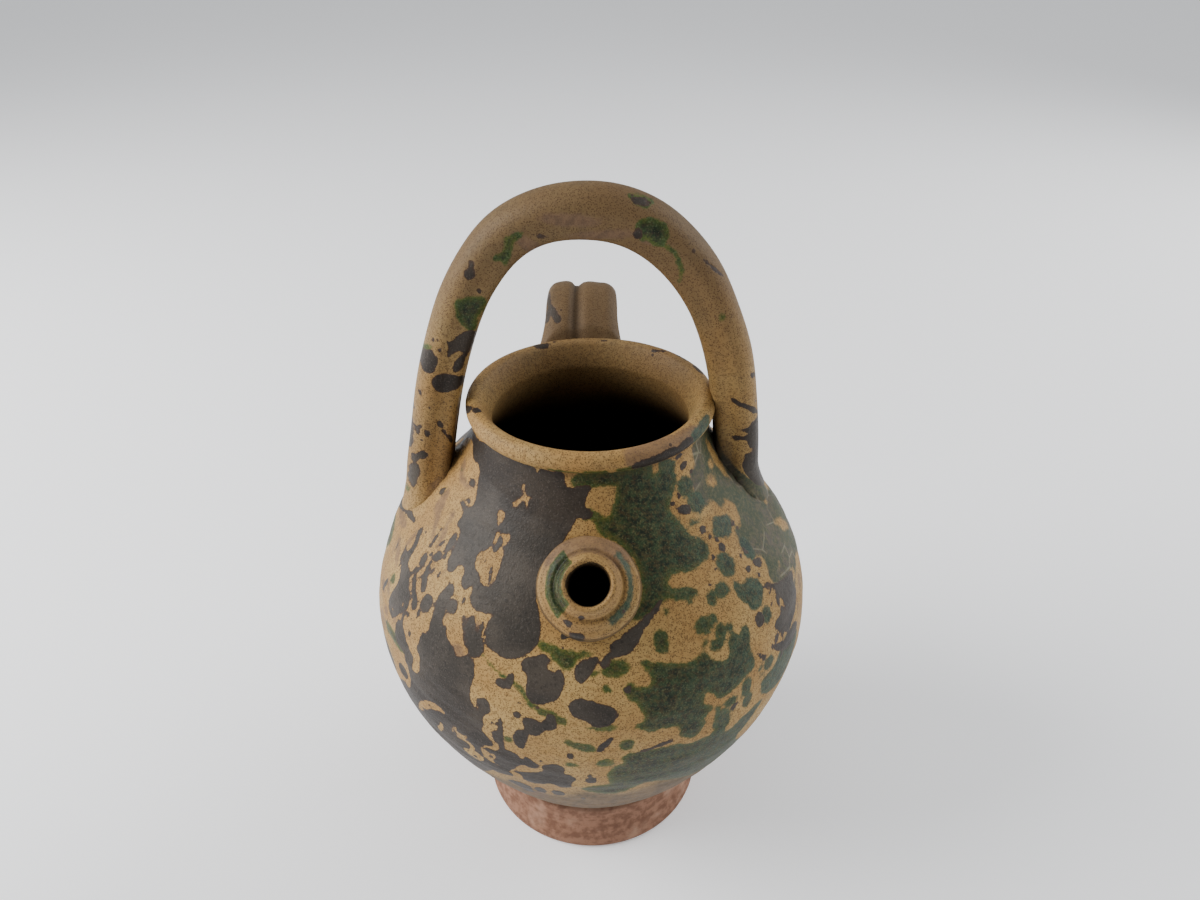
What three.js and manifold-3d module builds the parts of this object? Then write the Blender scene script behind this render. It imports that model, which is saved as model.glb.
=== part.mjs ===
// Splashed terracotta water jug in millimetres, +Z up, standing on its foot at z = 0.
// The hoop handle spans the mouth from -X to +X, the spout faces -Y and the strap handle faces +Y.
import * as THREE from "three";
import { mergeVertices } from "three/addons/utils/BufferGeometryUtils.js";
import Module from "manifold-3d";

const wasm = await Module();
wasm.setup();

// Foot
const FOOT_RADIUS = 53.8;
const FOOT_EDGE = 1.6;
const FOOT_HEIGHT = 26;
const FOOT_WAIST_RADIUS = 51.2;
const JUNCTION_HEIGHT = 1.6;
const JUNCTION_DEPTH = 0.9;

// Body, from the junction over the foot up to the neck under the lip
const BELLY_RADIUS = 95.7;
const BELLY_HEIGHT = 125.6;
const LOWER_LEAN = 36.3;
const LOWER_REACH = 52.9;
const BELLY_REACH_DOWN = 26.8;
const BELLY_REACH_UP = 47.6;
const NECK_RADIUS = 46;
const NECK_HEIGHT = 217.3;
const NECK_LEAN = 10;
const NECK_REACH = 32;

// Lip and hollow
const LIP_RADIUS = 50.5;
const LIP_TOP = 226;
const MOUTH_RADIUS = 43.4;
const WALL = 6;
const FLOOR = 12;
const FOOT_WALL = 9;

// Hoop handle: a full arch over the mouth, its legs run down into the shoulder
const HOOP_LEFT = { span: 57.5, splay: 9.5, fullness: 2.42, spread: 2.9 };
const HOOP_RIGHT = { span: 60.6, splay: 1.3, fullness: 2.2, spread: 6 };
const HOOP_SPRING_HEIGHT = 190;
const HOOP_CROWN_HEIGHT = 300;
const HOOP_SHIFT = -0.9;
const HOOP_THICKNESS = 18.8;
const HOOP_WIDTH = 22;
const HOOP_ROOT_DROP = 28;
const HOOP_ROOT_SWELL = 1.1;
const HOOP_RIDGE = 0.9;

// Strap handle: from the back of the lip over a crest and down to the shoulder
const STRAP_WIDTH = 33;
const STRAP_THICKNESS = 11.5;
const STRAP_SHIFT = -4;
const STRAP_START_HEIGHT = 213;
const STRAP_START_REACH = 42;
const STRAP_CREST_HEIGHT = 266.5;
const STRAP_CREST_REACH = 84;
const STRAP_OUT_HEIGHT = 208;
const STRAP_OUT_REACH = 118;
const STRAP_END_HEIGHT = 152;
const STRAP_END_REACH = 86;
const STRAP_FLARE = 1.12;
const STRAP_RIB = 2.6;

// Spout: a collar and a short nozzle on the front of the shoulder, bored through the wall
const SPOUT_RISE = 45;
const SPOUT_REACH = 77.5;
const SPOUT_HEIGHT = 189.6;
const COLLAR_RADIUS = 18.2;
const COLLAR_SLOPE = 3;
const NOZZLE_BASE_RADIUS = 12.2;
const NOZZLE_RADIUS = 9.4;
const NOZZLE_HEIGHT = 11;
const BORE_RADIUS = 7.3;
const SPOUT_ROOT = 16;
const BORE_DEPTH = 26;

// Fineness of the surfaces
const ROUND_STEPS = 60;
const HOOP_STEPS = 36;
const HOOP_ROUND_STEPS = 16;
const STRAP_STEPS = 20;
const STRAP_ROUND_STEPS = 20;
const SPOUT_ROUND_STEPS = 32;

const point = (radius, height) => new THREE.Vector2(radius, height);
const radians = THREE.MathUtils.degToRad;

// A closed solid from a geometry whose faces point outwards.
function solid(geometry) {
  const plain = geometry.clone();
  plain.deleteAttribute("normal");
  plain.deleteAttribute("uv");
  const merged = mergeVertices(plain, 1e-4);
  const vertProperties = new Float32Array(merged.attributes.position.array);
  const triVerts = new Uint32Array(merged.index.array);
  return new wasm.Manifold(new wasm.Mesh({ numProp: 3, vertProperties, triVerts }));
}

// A solid of revolution about +Z. The profile runs upwards and starts and ends on the axis.
function turned(profile, steps) {
  return new THREE.LatheGeometry(profile, steps).rotateX(Math.PI / 2);
}

// A skin over rings of equal length, closed at both ends by a fan.
function lofted(rings) {
  const size = rings[0].length;
  const positions = [];
  const index = [];
  for (const ring of rings) {
    for (const p of ring) {
      positions.push(p.x, p.y, p.z);
    }
  }
  for (let i = 0; i + 1 < rings.length; i++) {
    for (let j = 0; j < size; j++) {
      const a = i * size + j;
      const b = i * size + ((j + 1) % size);
      index.push(a, b + size, b, a, a + size, b + size);
    }
  }
  const closeEnd = (start, forwards) => {
    const middle = new THREE.Vector3();
    for (let j = 0; j < size; j++) {
      middle.add(rings[start][j]);
    }
    middle.divideScalar(size);
    const centre = positions.length / 3;
    positions.push(middle.x, middle.y, middle.z);
    for (let j = 0; j < size; j++) {
      const a = start * size + j;
      const b = start * size + ((j + 1) % size);
      index.push(...(forwards ? [b, a, centre] : [a, b, centre]));
    }
  };
  closeEnd(0, false);
  closeEnd(rings.length - 1, true);
  const geometry = new THREE.BufferGeometry();
  geometry.setAttribute("position", new THREE.Float32BufferAttribute(positions, 3));
  geometry.setIndex(index);
  return geometry;
}

// The two curves of the body: foot to belly, and belly to neck.
const lowerCurve = new THREE.CubicBezierCurve(
  point(FOOT_WAIST_RADIUS, FOOT_HEIGHT + JUNCTION_HEIGHT),
  point(
    FOOT_WAIST_RADIUS + LOWER_REACH * Math.sin(radians(LOWER_LEAN)),
    FOOT_HEIGHT + JUNCTION_HEIGHT + LOWER_REACH * Math.cos(radians(LOWER_LEAN)),
  ),
  point(BELLY_RADIUS, BELLY_HEIGHT - BELLY_REACH_DOWN),
  point(BELLY_RADIUS, BELLY_HEIGHT),
);
const upperCurve = new THREE.CubicBezierCurve(
  point(BELLY_RADIUS, BELLY_HEIGHT),
  point(BELLY_RADIUS, BELLY_HEIGHT + BELLY_REACH_UP),
  point(
    NECK_RADIUS + NECK_REACH * Math.sin(radians(NECK_LEAN)),
    NECK_HEIGHT - NECK_REACH * Math.cos(radians(NECK_LEAN)),
  ),
  point(NECK_RADIUS, NECK_HEIGHT),
);

// Points of a curve moved to the inside by a depth.
function innerSide(curve, steps, depth) {
  const points = [];
  for (let i = 0; i <= steps; i++) {
    const t = i / steps;
    const along = curve.getTangent(t);
    points.push(curve.getPoint(t).add(point(-along.y, along.x).multiplyScalar(depth)));
  }
  return points;
}

// The rounded band of the lip, from under its outer edge over the top to the mouth.
function lipArc(steps) {
  const width = LIP_RADIUS - MOUTH_RADIUS;
  const centre = point(LIP_RADIUS - width * 0.55, (LIP_TOP + NECK_HEIGHT) / 2 + 0.2);
  const halfHeight = LIP_TOP - centre.y;
  const points = [];
  for (let i = 0; i <= steps; i++) {
    const angle = radians(-68 + (215 * i) / steps);
    const halfWidth = Math.cos(angle) > 0 ? width * 0.55 : width * 0.5;
    points.push(point(centre.x + halfWidth * Math.cos(angle), centre.y + halfHeight * Math.sin(angle)));
  }
  return points;
}

const lip = lipArc(9);
const mouthEdge = lip[lip.length - 1];

const innerLower = innerSide(lowerCurve, 5, WALL);
const innerUpper = innerSide(upperCurve, 8, WALL);

// The shell's outline: up the outside, over the lip and down the inside to the middle of the floor.
const shellProfile = [
  point(0, 0),
  point(FOOT_RADIUS - FOOT_EDGE, 0),
  point(FOOT_RADIUS - FOOT_EDGE * 0.3, FOOT_EDGE * 0.3),
  point(FOOT_RADIUS, FOOT_EDGE),
  point((FOOT_RADIUS + FOOT_WAIST_RADIUS) / 2 - 0.3, FOOT_HEIGHT * 0.45),
  point(FOOT_WAIST_RADIUS, FOOT_HEIGHT - 1),
  point(FOOT_WAIST_RADIUS - JUNCTION_DEPTH, FOOT_HEIGHT),
  ...lowerCurve.getPoints(9),
  ...upperCurve.getPoints(12).slice(1),
  ...lip,
  ...innerUpper.reverse(),
  ...innerLower.reverse().slice(1),
  point(FOOT_WAIST_RADIUS - FOOT_WALL, FLOOR + 6),
  point(FOOT_WAIST_RADIUS - FOOT_WALL - 6, FLOOR),
  point(0, FLOOR),
];

// What lies inside the middle of the wall: the handles and the spout are joined no deeper than this.
const coreProfile = [
  point(0, FLOOR + 6),
  ...innerSide(lowerCurve, 4, WALL / 2),
  ...innerSide(upperCurve, 8, WALL / 2).slice(1),
  point((LIP_RADIUS + MOUTH_RADIUS) / 2, NECK_HEIGHT + 1),
  point((LIP_RADIUS + MOUTH_RADIUS) / 2, LIP_TOP + STRAP_THICKNESS),
  point(0, LIP_TOP + STRAP_THICKNESS),
];

// The hoop's centre line at t, from the -X root over the crown to the +X root. Its two legs differ a little.
function hoopPoint(t) {
  const rootShare = 0.1;
  const fromEnd = Math.min(t, 1 - t);
  const side = t < 0.5 ? -1 : 1;
  const leg = t < 0.5 ? HOOP_LEFT : HOOP_RIGHT;
  if (fromEnd < rootShare) {
    const down = 1 - fromEnd / rootShare;
    const x = HOOP_SHIFT + side * (leg.span + leg.splay + leg.spread * down);
    return new THREE.Vector3(x, 0, HOOP_SPRING_HEIGHT - HOOP_ROOT_DROP * down);
  }
  const angle = (Math.PI * (fromEnd - rootShare)) / (1 - 2 * rootShare);
  const out = Math.pow(Math.cos(angle), 2 / leg.fullness);
  const up = Math.pow(Math.sin(angle), 2 / leg.fullness);
  const x = HOOP_SHIFT + side * (leg.span * out + leg.splay * Math.pow(1 - up, 2));
  return new THREE.Vector3(x, 0, HOOP_SPRING_HEIGHT + (HOOP_CROWN_HEIGHT - HOOP_SPRING_HEIGHT) * up);
}

// An oval section with a soft ridge along its inner side, swelling towards both roots.
function hoopRings() {
  const rings = [];
  for (let i = 0; i <= HOOP_STEPS; i++) {
    const t = i / HOOP_STEPS;
    const centre = hoopPoint(t);
    const ahead = hoopPoint(Math.min(t + 0.004, 1));
    const behind = hoopPoint(Math.max(t - 0.004, 0));
    const along = ahead.sub(behind).normalize();
    const across = new THREE.Vector3(-along.z, 0, along.x);
    const nearRoot = 1 - THREE.MathUtils.smoothstep(Math.min(t, 1 - t), 0.02, 0.17);
    const swell = 1 + (HOOP_ROOT_SWELL - 1) * nearRoot;
    const ring = [];
    for (let j = 0; j < HOOP_ROUND_STEPS; j++) {
      const angle = (2 * Math.PI * j) / HOOP_ROUND_STEPS;
      const ridge = HOOP_RIDGE * Math.pow(Math.max(0, Math.cos(angle + radians(140))), 6);
      const outwards = (HOOP_THICKNESS / 2) * swell * Math.cos(angle);
      const sideways = (HOOP_WIDTH / 2) * swell * Math.sin(angle);
      ring.push(
        centre
          .clone()
          .addScaledVector(across, outwards + ridge * Math.cos(angle))
          .add(new THREE.Vector3(0, sideways + ridge * Math.sin(angle), 0)),
      );
    }
    rings.push(ring);
  }
  return rings;
}

const strapLine = new THREE.CubicBezierCurve(
  point(STRAP_START_REACH, STRAP_START_HEIGHT),
  point(STRAP_CREST_REACH, STRAP_CREST_HEIGHT),
  point(STRAP_OUT_REACH, STRAP_OUT_HEIGHT),
  point(STRAP_END_REACH, STRAP_END_HEIGHT),
);

// Height of the strap's outer face over its flat middle: a rib at one side, a rolled edge at the other.
function strapRelief(share) {
  const rib = Math.exp(-Math.pow((share + 0.62) / 0.26, 2));
  const ridge = 0.55 * Math.exp(-Math.pow((share - 0.08) / 0.22, 2));
  const roll = 0.8 * Math.exp(-Math.pow((share - 0.86) / 0.2, 2));
  return STRAP_RIB * (rib + ridge + roll - 0.5);
}

// Flat oval sections along the strap, wider where it joins the lip and the shoulder.
function strapRings() {
  const rings = [];
  for (let i = 0; i <= STRAP_STEPS; i++) {
    const t = i / STRAP_STEPS;
    const centre = strapLine.getPoint(t);
    const along = strapLine.getTangent(t);
    const up = new THREE.Vector3(0, -along.y, along.x);
    const nearEnd = Math.pow(Math.abs(2 * t - 1), 4);
    const flare = 1 + (STRAP_FLARE - 1) * nearEnd;
    const ring = [];
    for (let j = 0; j < STRAP_ROUND_STEPS; j++) {
      const angle = (2 * Math.PI * j) / STRAP_ROUND_STEPS;
      const share = Math.sign(Math.cos(angle)) * Math.pow(Math.abs(Math.cos(angle)), 0.75);
      const lift = Math.sign(Math.sin(angle)) * Math.pow(Math.abs(Math.sin(angle)), 0.6);
      const relief = lift > 0.3 ? strapRelief(share) : 0;
      const sideways = STRAP_SHIFT + (STRAP_WIDTH / 2) * flare * share;
      const upwards = (STRAP_THICKNESS / 2) * flare * lift + relief;
      ring.push(new THREE.Vector3(sideways, centre.x, centre.y).addScaledVector(up, upwards));
    }
    rings.push(ring);
  }
  return rings;
}

// Places a shape turned about +Z on the spout's axis, its z = 0 at the collar's edge.
function onSpoutAxis(geometry) {
  return geometry.rotateX(radians(90 - SPOUT_RISE)).translate(0, -SPOUT_REACH, SPOUT_HEIGHT);
}

const spoutProfile = [
  point(0, -SPOUT_ROOT),
  point(COLLAR_RADIUS + 0.6, -SPOUT_ROOT),
  point(COLLAR_RADIUS, -1.2),
  point(COLLAR_RADIUS - 0.6, 0),
  point(NOZZLE_BASE_RADIUS + 2, COLLAR_SLOPE - 0.3),
  point(NOZZLE_BASE_RADIUS + 0.4, COLLAR_SLOPE - 0.6),
  point(NOZZLE_BASE_RADIUS, COLLAR_SLOPE),
  point(NOZZLE_RADIUS + 0.5, NOZZLE_HEIGHT - 1.6),
  point(NOZZLE_RADIUS, NOZZLE_HEIGHT - 0.5),
  point(NOZZLE_RADIUS - 0.7, NOZZLE_HEIGHT),
  point(0, NOZZLE_HEIGHT),
];

const boreProfile = [
  point(0, -BORE_DEPTH),
  point(BORE_RADIUS, -BORE_DEPTH),
  point(BORE_RADIUS, NOZZLE_HEIGHT - 1.2),
  point(BORE_RADIUS + 1, NOZZLE_HEIGHT + 1),
  point(0, NOZZLE_HEIGHT + 1),
];

const shell = solid(turned(shellProfile, ROUND_STEPS));
const core = solid(turned(coreProfile, ROUND_STEPS));
const hoop = solid(lofted(hoopRings()));
const strap = solid(lofted(strapRings()));
const spout = solid(onSpoutAxis(turned(spoutProfile, SPOUT_ROUND_STEPS)));
const bore = solid(onSpoutAxis(turned(boreProfile, SPOUT_ROUND_STEPS)));

const joined = hoop.add(strap).add(spout).subtract(core);
const jugSolid = shell.add(joined).subtract(bore);

// A drawable geometry from a joined solid.
function drawable(shape) {
  const made = shape.getMesh();
  const geometry = new THREE.BufferGeometry();
  geometry.setAttribute("position", new THREE.BufferAttribute(made.vertProperties, made.numProp));
  geometry.setIndex(new THREE.BufferAttribute(made.triVerts, 1));
  geometry.computeVertexNormals();
  return geometry;
}

const clay = new THREE.MeshStandardMaterial({ color: 0xb98a52, roughness: 0.6 });
const jug = new THREE.Mesh(drawable(jugSolid), clay);
jug.name = "jug";

const root = new THREE.Group();
root.add(jug);

export default root;
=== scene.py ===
import math

import bpy
import numpy as np
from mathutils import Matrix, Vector


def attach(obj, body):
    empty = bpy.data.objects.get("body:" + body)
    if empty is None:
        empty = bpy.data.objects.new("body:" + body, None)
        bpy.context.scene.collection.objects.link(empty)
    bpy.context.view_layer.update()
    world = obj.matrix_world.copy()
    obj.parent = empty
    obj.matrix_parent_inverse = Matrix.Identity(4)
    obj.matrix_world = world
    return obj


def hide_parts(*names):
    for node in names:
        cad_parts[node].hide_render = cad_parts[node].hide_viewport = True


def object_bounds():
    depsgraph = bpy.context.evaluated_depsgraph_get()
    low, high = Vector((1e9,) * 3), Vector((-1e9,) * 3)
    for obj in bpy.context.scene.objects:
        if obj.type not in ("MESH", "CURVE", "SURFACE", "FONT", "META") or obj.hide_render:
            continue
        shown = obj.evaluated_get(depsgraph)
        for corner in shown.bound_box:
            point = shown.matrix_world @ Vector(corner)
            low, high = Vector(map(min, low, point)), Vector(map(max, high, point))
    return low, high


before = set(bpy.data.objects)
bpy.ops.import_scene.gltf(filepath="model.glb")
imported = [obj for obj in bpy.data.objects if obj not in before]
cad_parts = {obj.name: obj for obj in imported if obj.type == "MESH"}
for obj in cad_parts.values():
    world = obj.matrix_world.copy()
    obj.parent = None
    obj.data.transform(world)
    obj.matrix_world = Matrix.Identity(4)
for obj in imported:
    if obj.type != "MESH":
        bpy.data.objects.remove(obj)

CAD_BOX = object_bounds()
MM = 0.001

# Sizes of the jug in millimetres, the same as in the solid.
FOOT_RADIUS = 53.8
FOOT_EDGE = 1.6
FOOT_HEIGHT = 26.0
FOOT_WAIST_RADIUS = 51.2
JUNCTION_HEIGHT = 1.6
JUNCTION_DEPTH = 0.9
BELLY_RADIUS = 95.7
BELLY_HEIGHT = 125.6
LOWER_LEAN = 36.3
LOWER_REACH = 52.9
BELLY_REACH_DOWN = 26.8
BELLY_REACH_UP = 47.6
NECK_RADIUS = 46.0
NECK_HEIGHT = 217.3
NECK_LEAN = 10.0
NECK_REACH = 32.0
LIP_RADIUS = 50.5
LIP_TOP = 226.0
MOUTH_RADIUS = 43.4
WALL = 6.0
FLOOR = 12.0
# Span, splay at the foot, fullness and spread of the root, for the -X and the +X leg.
HOOP_LEFT = (57.5, 9.5, 2.42, 2.9)
HOOP_RIGHT = (60.6, 1.3, 2.2, 6.0)
HOOP_SPRING_HEIGHT = 190.0
HOOP_CROWN_HEIGHT = 300.0
HOOP_SHIFT = -0.9
HOOP_THICKNESS = 18.8
HOOP_WIDTH = 22.0
HOOP_ROOT_DROP = 28.0
HOOP_ROOT_SHARE = 0.1
STRAP_WIDTH = 33.0
STRAP_THICKNESS = 11.5
STRAP_SHIFT = -4.0
STRAP_LINE = [(42.0, 213.0), (84.0, 266.5), (118.0, 208.0), (86.0, 152.0)]
STRAP_FLARE = 1.12
SPOUT_RISE = math.radians(45.0)
SPOUT_REACH = 77.5
SPOUT_HEIGHT = 189.6
COLLAR_RADIUS = 18.2
BORE_RADIUS = 7.3
NOZZLE_HEIGHT = 11.0

# Forms that the solid leaves to this script, in millimetres unless a line says otherwise.
AROUND = 344
# The shell's columns stand closer together at the front, by this share.
FRONT_DENSITY = 0.36
# Throwing ridges on the body: height, size and breadth.
THROWING_RIDGES = [
    (196.5, 0.22, 1.3), (192.6, 0.34, 1.1), (187.4, 0.3, 1.2), (207.0, 0.15, 2.0),
    (176.0, 0.12, 2.5), (150.0, 0.12, 3.0), (118.0, 0.15, 3.5), (96.0, 0.15, 3.0),
]
THROWING_PITCH = 3.4
THROWING_CLIMB = 1.1
HOOP_FILLET = 3.4
HOOP_FILLET_REACH = 15.0
STRAP_FILLET = 3.0
STRAP_FILLET_REACH = 12.0
BORE_CLEARED_RADIUS = 9.5
# Relief round the hoop's section: bearing in degrees, size and breadth in degrees.
HOOP_RELIEF = [(222, 1.5, 15), (258, -0.8, 16)]
HOOP_ROUNDNESS = 0.93
HOOP_SMOOTHING = 15
# Relief across the strap: place, size and breadth as shares of its half width, and power of the flank.
STRAP_PROFILE = [(-0.64, 1.0, 0.36, 4), (-0.19, -0.95, 0.085, 2), (0.2, 0.7, 0.34, 2), (0.74, 0.55, 0.24, 2)]
STRAP_RELIEF = 1.9
STRAP_GROOVE = STRAP_PROFILE[1][0]
STRAP_RIGHT_SHARE = 0.93
# The strap dives under the lip by this much, so that the lip's edge runs on in front of it.
STRAP_DIVE = 4.5
# The spout from its collar over the nozzle into the bore: radius and distance along its axis.
SPOUT_OUTLINE = [
    (COLLAR_RADIUS + 0.9, -16.0), (COLLAR_RADIUS + 0.7, -6.0), (COLLAR_RADIUS + 0.1, -2.0),
    (COLLAR_RADIUS - 0.1, -0.8), (COLLAR_RADIUS - 0.8, 0.1), (16.2, 0.7), (14.6, 2.3), (13.4, 3.2),
    (12.8, 3.0), (12.3, 2.8), (12.0, 3.1), (11.7, 4.2), (11.3, 6.0), (10.8, 6.9), (10.5, 6.9), (10.3, 8.4),
    (9.9, 9.9), (9.4, 10.7), (8.8, NOZZLE_HEIGHT), (8.1, 10.8), (7.5, 10.1), (7.2, 8.5),
    (BORE_RADIUS, 4.0), (BORE_RADIUS, -10.0), (BORE_RADIUS + 0.4, -20.0),
]
SPOUT_GROOVE_RADIUS = 12.3
SPOUT_AXIS = np.array([0.0, -math.cos(SPOUT_RISE), math.sin(SPOUT_RISE)])
SPOUT_UP = np.array([0.0, math.sin(SPOUT_RISE), math.cos(SPOUT_RISE)])
SPOUT_CENTRE = np.array([0.0, -SPOUT_REACH, SPOUT_HEIGHT])

# Where the photograph was taken from: place in millimetres, and how far the camera looks down in degrees.
CAMERA_PLACE = (3.925, -318.0, 402.6)
CAMERA_DOWN = 32.9
# How far in front of the hoop's centre line its splashes were laid out.
HOOP_FRONT = 9.0


def bezier(points, count):
    t = np.linspace(0.0, 1.0, count)[:, None]
    a, b, c, d = (np.array(p, float) for p in points)
    return (1 - t) ** 3 * a + 3 * (1 - t) ** 2 * t * b + 3 * (1 - t) * t * t * c + t ** 3 * d


def smoothstep(low, high, value):
    t = np.clip((value - low) / (high - low), 0.0, 1.0)
    return t * t * (3 - 2 * t)


def bell(value, place, breadth, power=2):
    return np.exp(-(((value - place) / breadth) ** power))


def rounded_off(value, power):
    return np.sign(value) * np.abs(value) ** power


def waves(points, seed, scale, count=10):
    """A smooth seeded field over 3-D points in mm, about -1 to 1."""
    rng = np.random.default_rng(seed)
    total = np.zeros(len(points))
    for _ in range(count):
        direction = rng.normal(size=3)
        direction *= rng.uniform(0.6, 1.5) * 2 * math.pi / scale / np.linalg.norm(direction)
        total += np.sin(points @ direction + rng.uniform(0, 2 * math.pi))
    return total / math.sqrt(count / 2) / 1.6


def hand_made(points, size, scale, first_seed):
    """The points with the slight unevenness of work by hand."""
    seeds = range(first_seed, first_seed + 3)
    return points + size * np.stack([waves(points, seed, scale) for seed in seeds], 1)


def evenly_along(line, count):
    """The line as points at even steps, and how far along each one is, from 0 to 1."""
    steps = np.linalg.norm(np.diff(line, axis=0), axis=1)
    along = np.concatenate([[0.0], np.cumsum(steps)])
    at = np.linspace(0.0, along[-1], count)
    return np.stack([np.interp(at, along, column) for column in line.T], 1), at / along[-1]


def resampled(line, spacing):
    length = np.cumsum(np.linalg.norm(np.diff(line, axis=0), axis=1))[-1]
    return evenly_along(line, max(2, int(round(length / spacing)) + 1))[0]


def directions(line):
    along = np.gradient(line, axis=0)
    return along / np.linalg.norm(along, axis=1)[:, None]


def inset(points, depth):
    along = directions(points)
    return points + depth * np.stack([-along[:, 1], along[:, 0]], 1)


def lower_points(count):
    lean = math.radians(LOWER_LEAN)
    start = (FOOT_WAIST_RADIUS, FOOT_HEIGHT + JUNCTION_HEIGHT)
    return bezier([
        start,
        (start[0] + LOWER_REACH * math.sin(lean), start[1] + LOWER_REACH * math.cos(lean)),
        (BELLY_RADIUS, BELLY_HEIGHT - BELLY_REACH_DOWN),
        (BELLY_RADIUS, BELLY_HEIGHT),
    ], count)


def upper_points(count):
    lean = math.radians(NECK_LEAN)
    return bezier([
        (BELLY_RADIUS, BELLY_HEIGHT),
        (BELLY_RADIUS, BELLY_HEIGHT + BELLY_REACH_UP),
        (NECK_RADIUS + NECK_REACH * math.sin(lean), NECK_HEIGHT - NECK_REACH * math.cos(lean)),
        (NECK_RADIUS, NECK_HEIGHT),
    ], count)


def lip_points(count):
    width = LIP_RADIUS - MOUTH_RADIUS
    outer, inner = width * 0.55, width * 0.5
    middle = (LIP_RADIUS - outer, (LIP_TOP + NECK_HEIGHT) / 2 + 0.2)
    angle = np.radians(np.linspace(-68, 147, count))
    half_width = np.where(np.cos(angle) > 0, outer, inner)
    half_height = LIP_TOP - middle[1]
    return np.stack([middle[0] + half_width * np.cos(angle), middle[1] + half_height * np.sin(angle)], 1)


BODY_CURVE = np.vstack([lower_points(90), upper_points(90)[1:]])


def body_radius(height):
    return np.interp(height, BODY_CURVE[:, 1], BODY_CURVE[:, 0])


def body_slope(height):
    return body_radius(height + 0.5) - body_radius(height - 0.5)


def grid_faces(rows, columns):
    """Quads between rings of points, closed round each ring."""
    index = np.arange(rows * columns).reshape(rows, columns)
    right = np.roll(index, -1, axis=1)
    return np.stack([index[:-1], right[:-1], right[1:], index[1:]], -1).reshape(-1, 4)


def make_mesh(name, points, faces, fields):
    """A smooth piece from points in mm, with its fields, without unused points."""
    used, corners = np.unique(faces, return_inverse=True)
    corners = corners.reshape(faces.shape)
    kept = np.clip(points[used] * MM, CAD_BOX[0], CAD_BOX[1])
    mesh = bpy.data.meshes.new(name)
    mesh.from_pydata(kept.tolist(), [], corners.tolist())
    for field, values in fields.items():
        layer = mesh.attributes.new(field, "FLOAT", "POINT")
        layer.data.foreach_set("value", np.asarray(values, np.float32)[used])
    mesh.polygons.foreach_set("use_smooth", [True] * len(mesh.polygons))
    mesh.update()
    piece = bpy.data.objects.new(name, mesh)
    bpy.context.scene.collection.objects.link(piece)
    return piece


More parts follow.
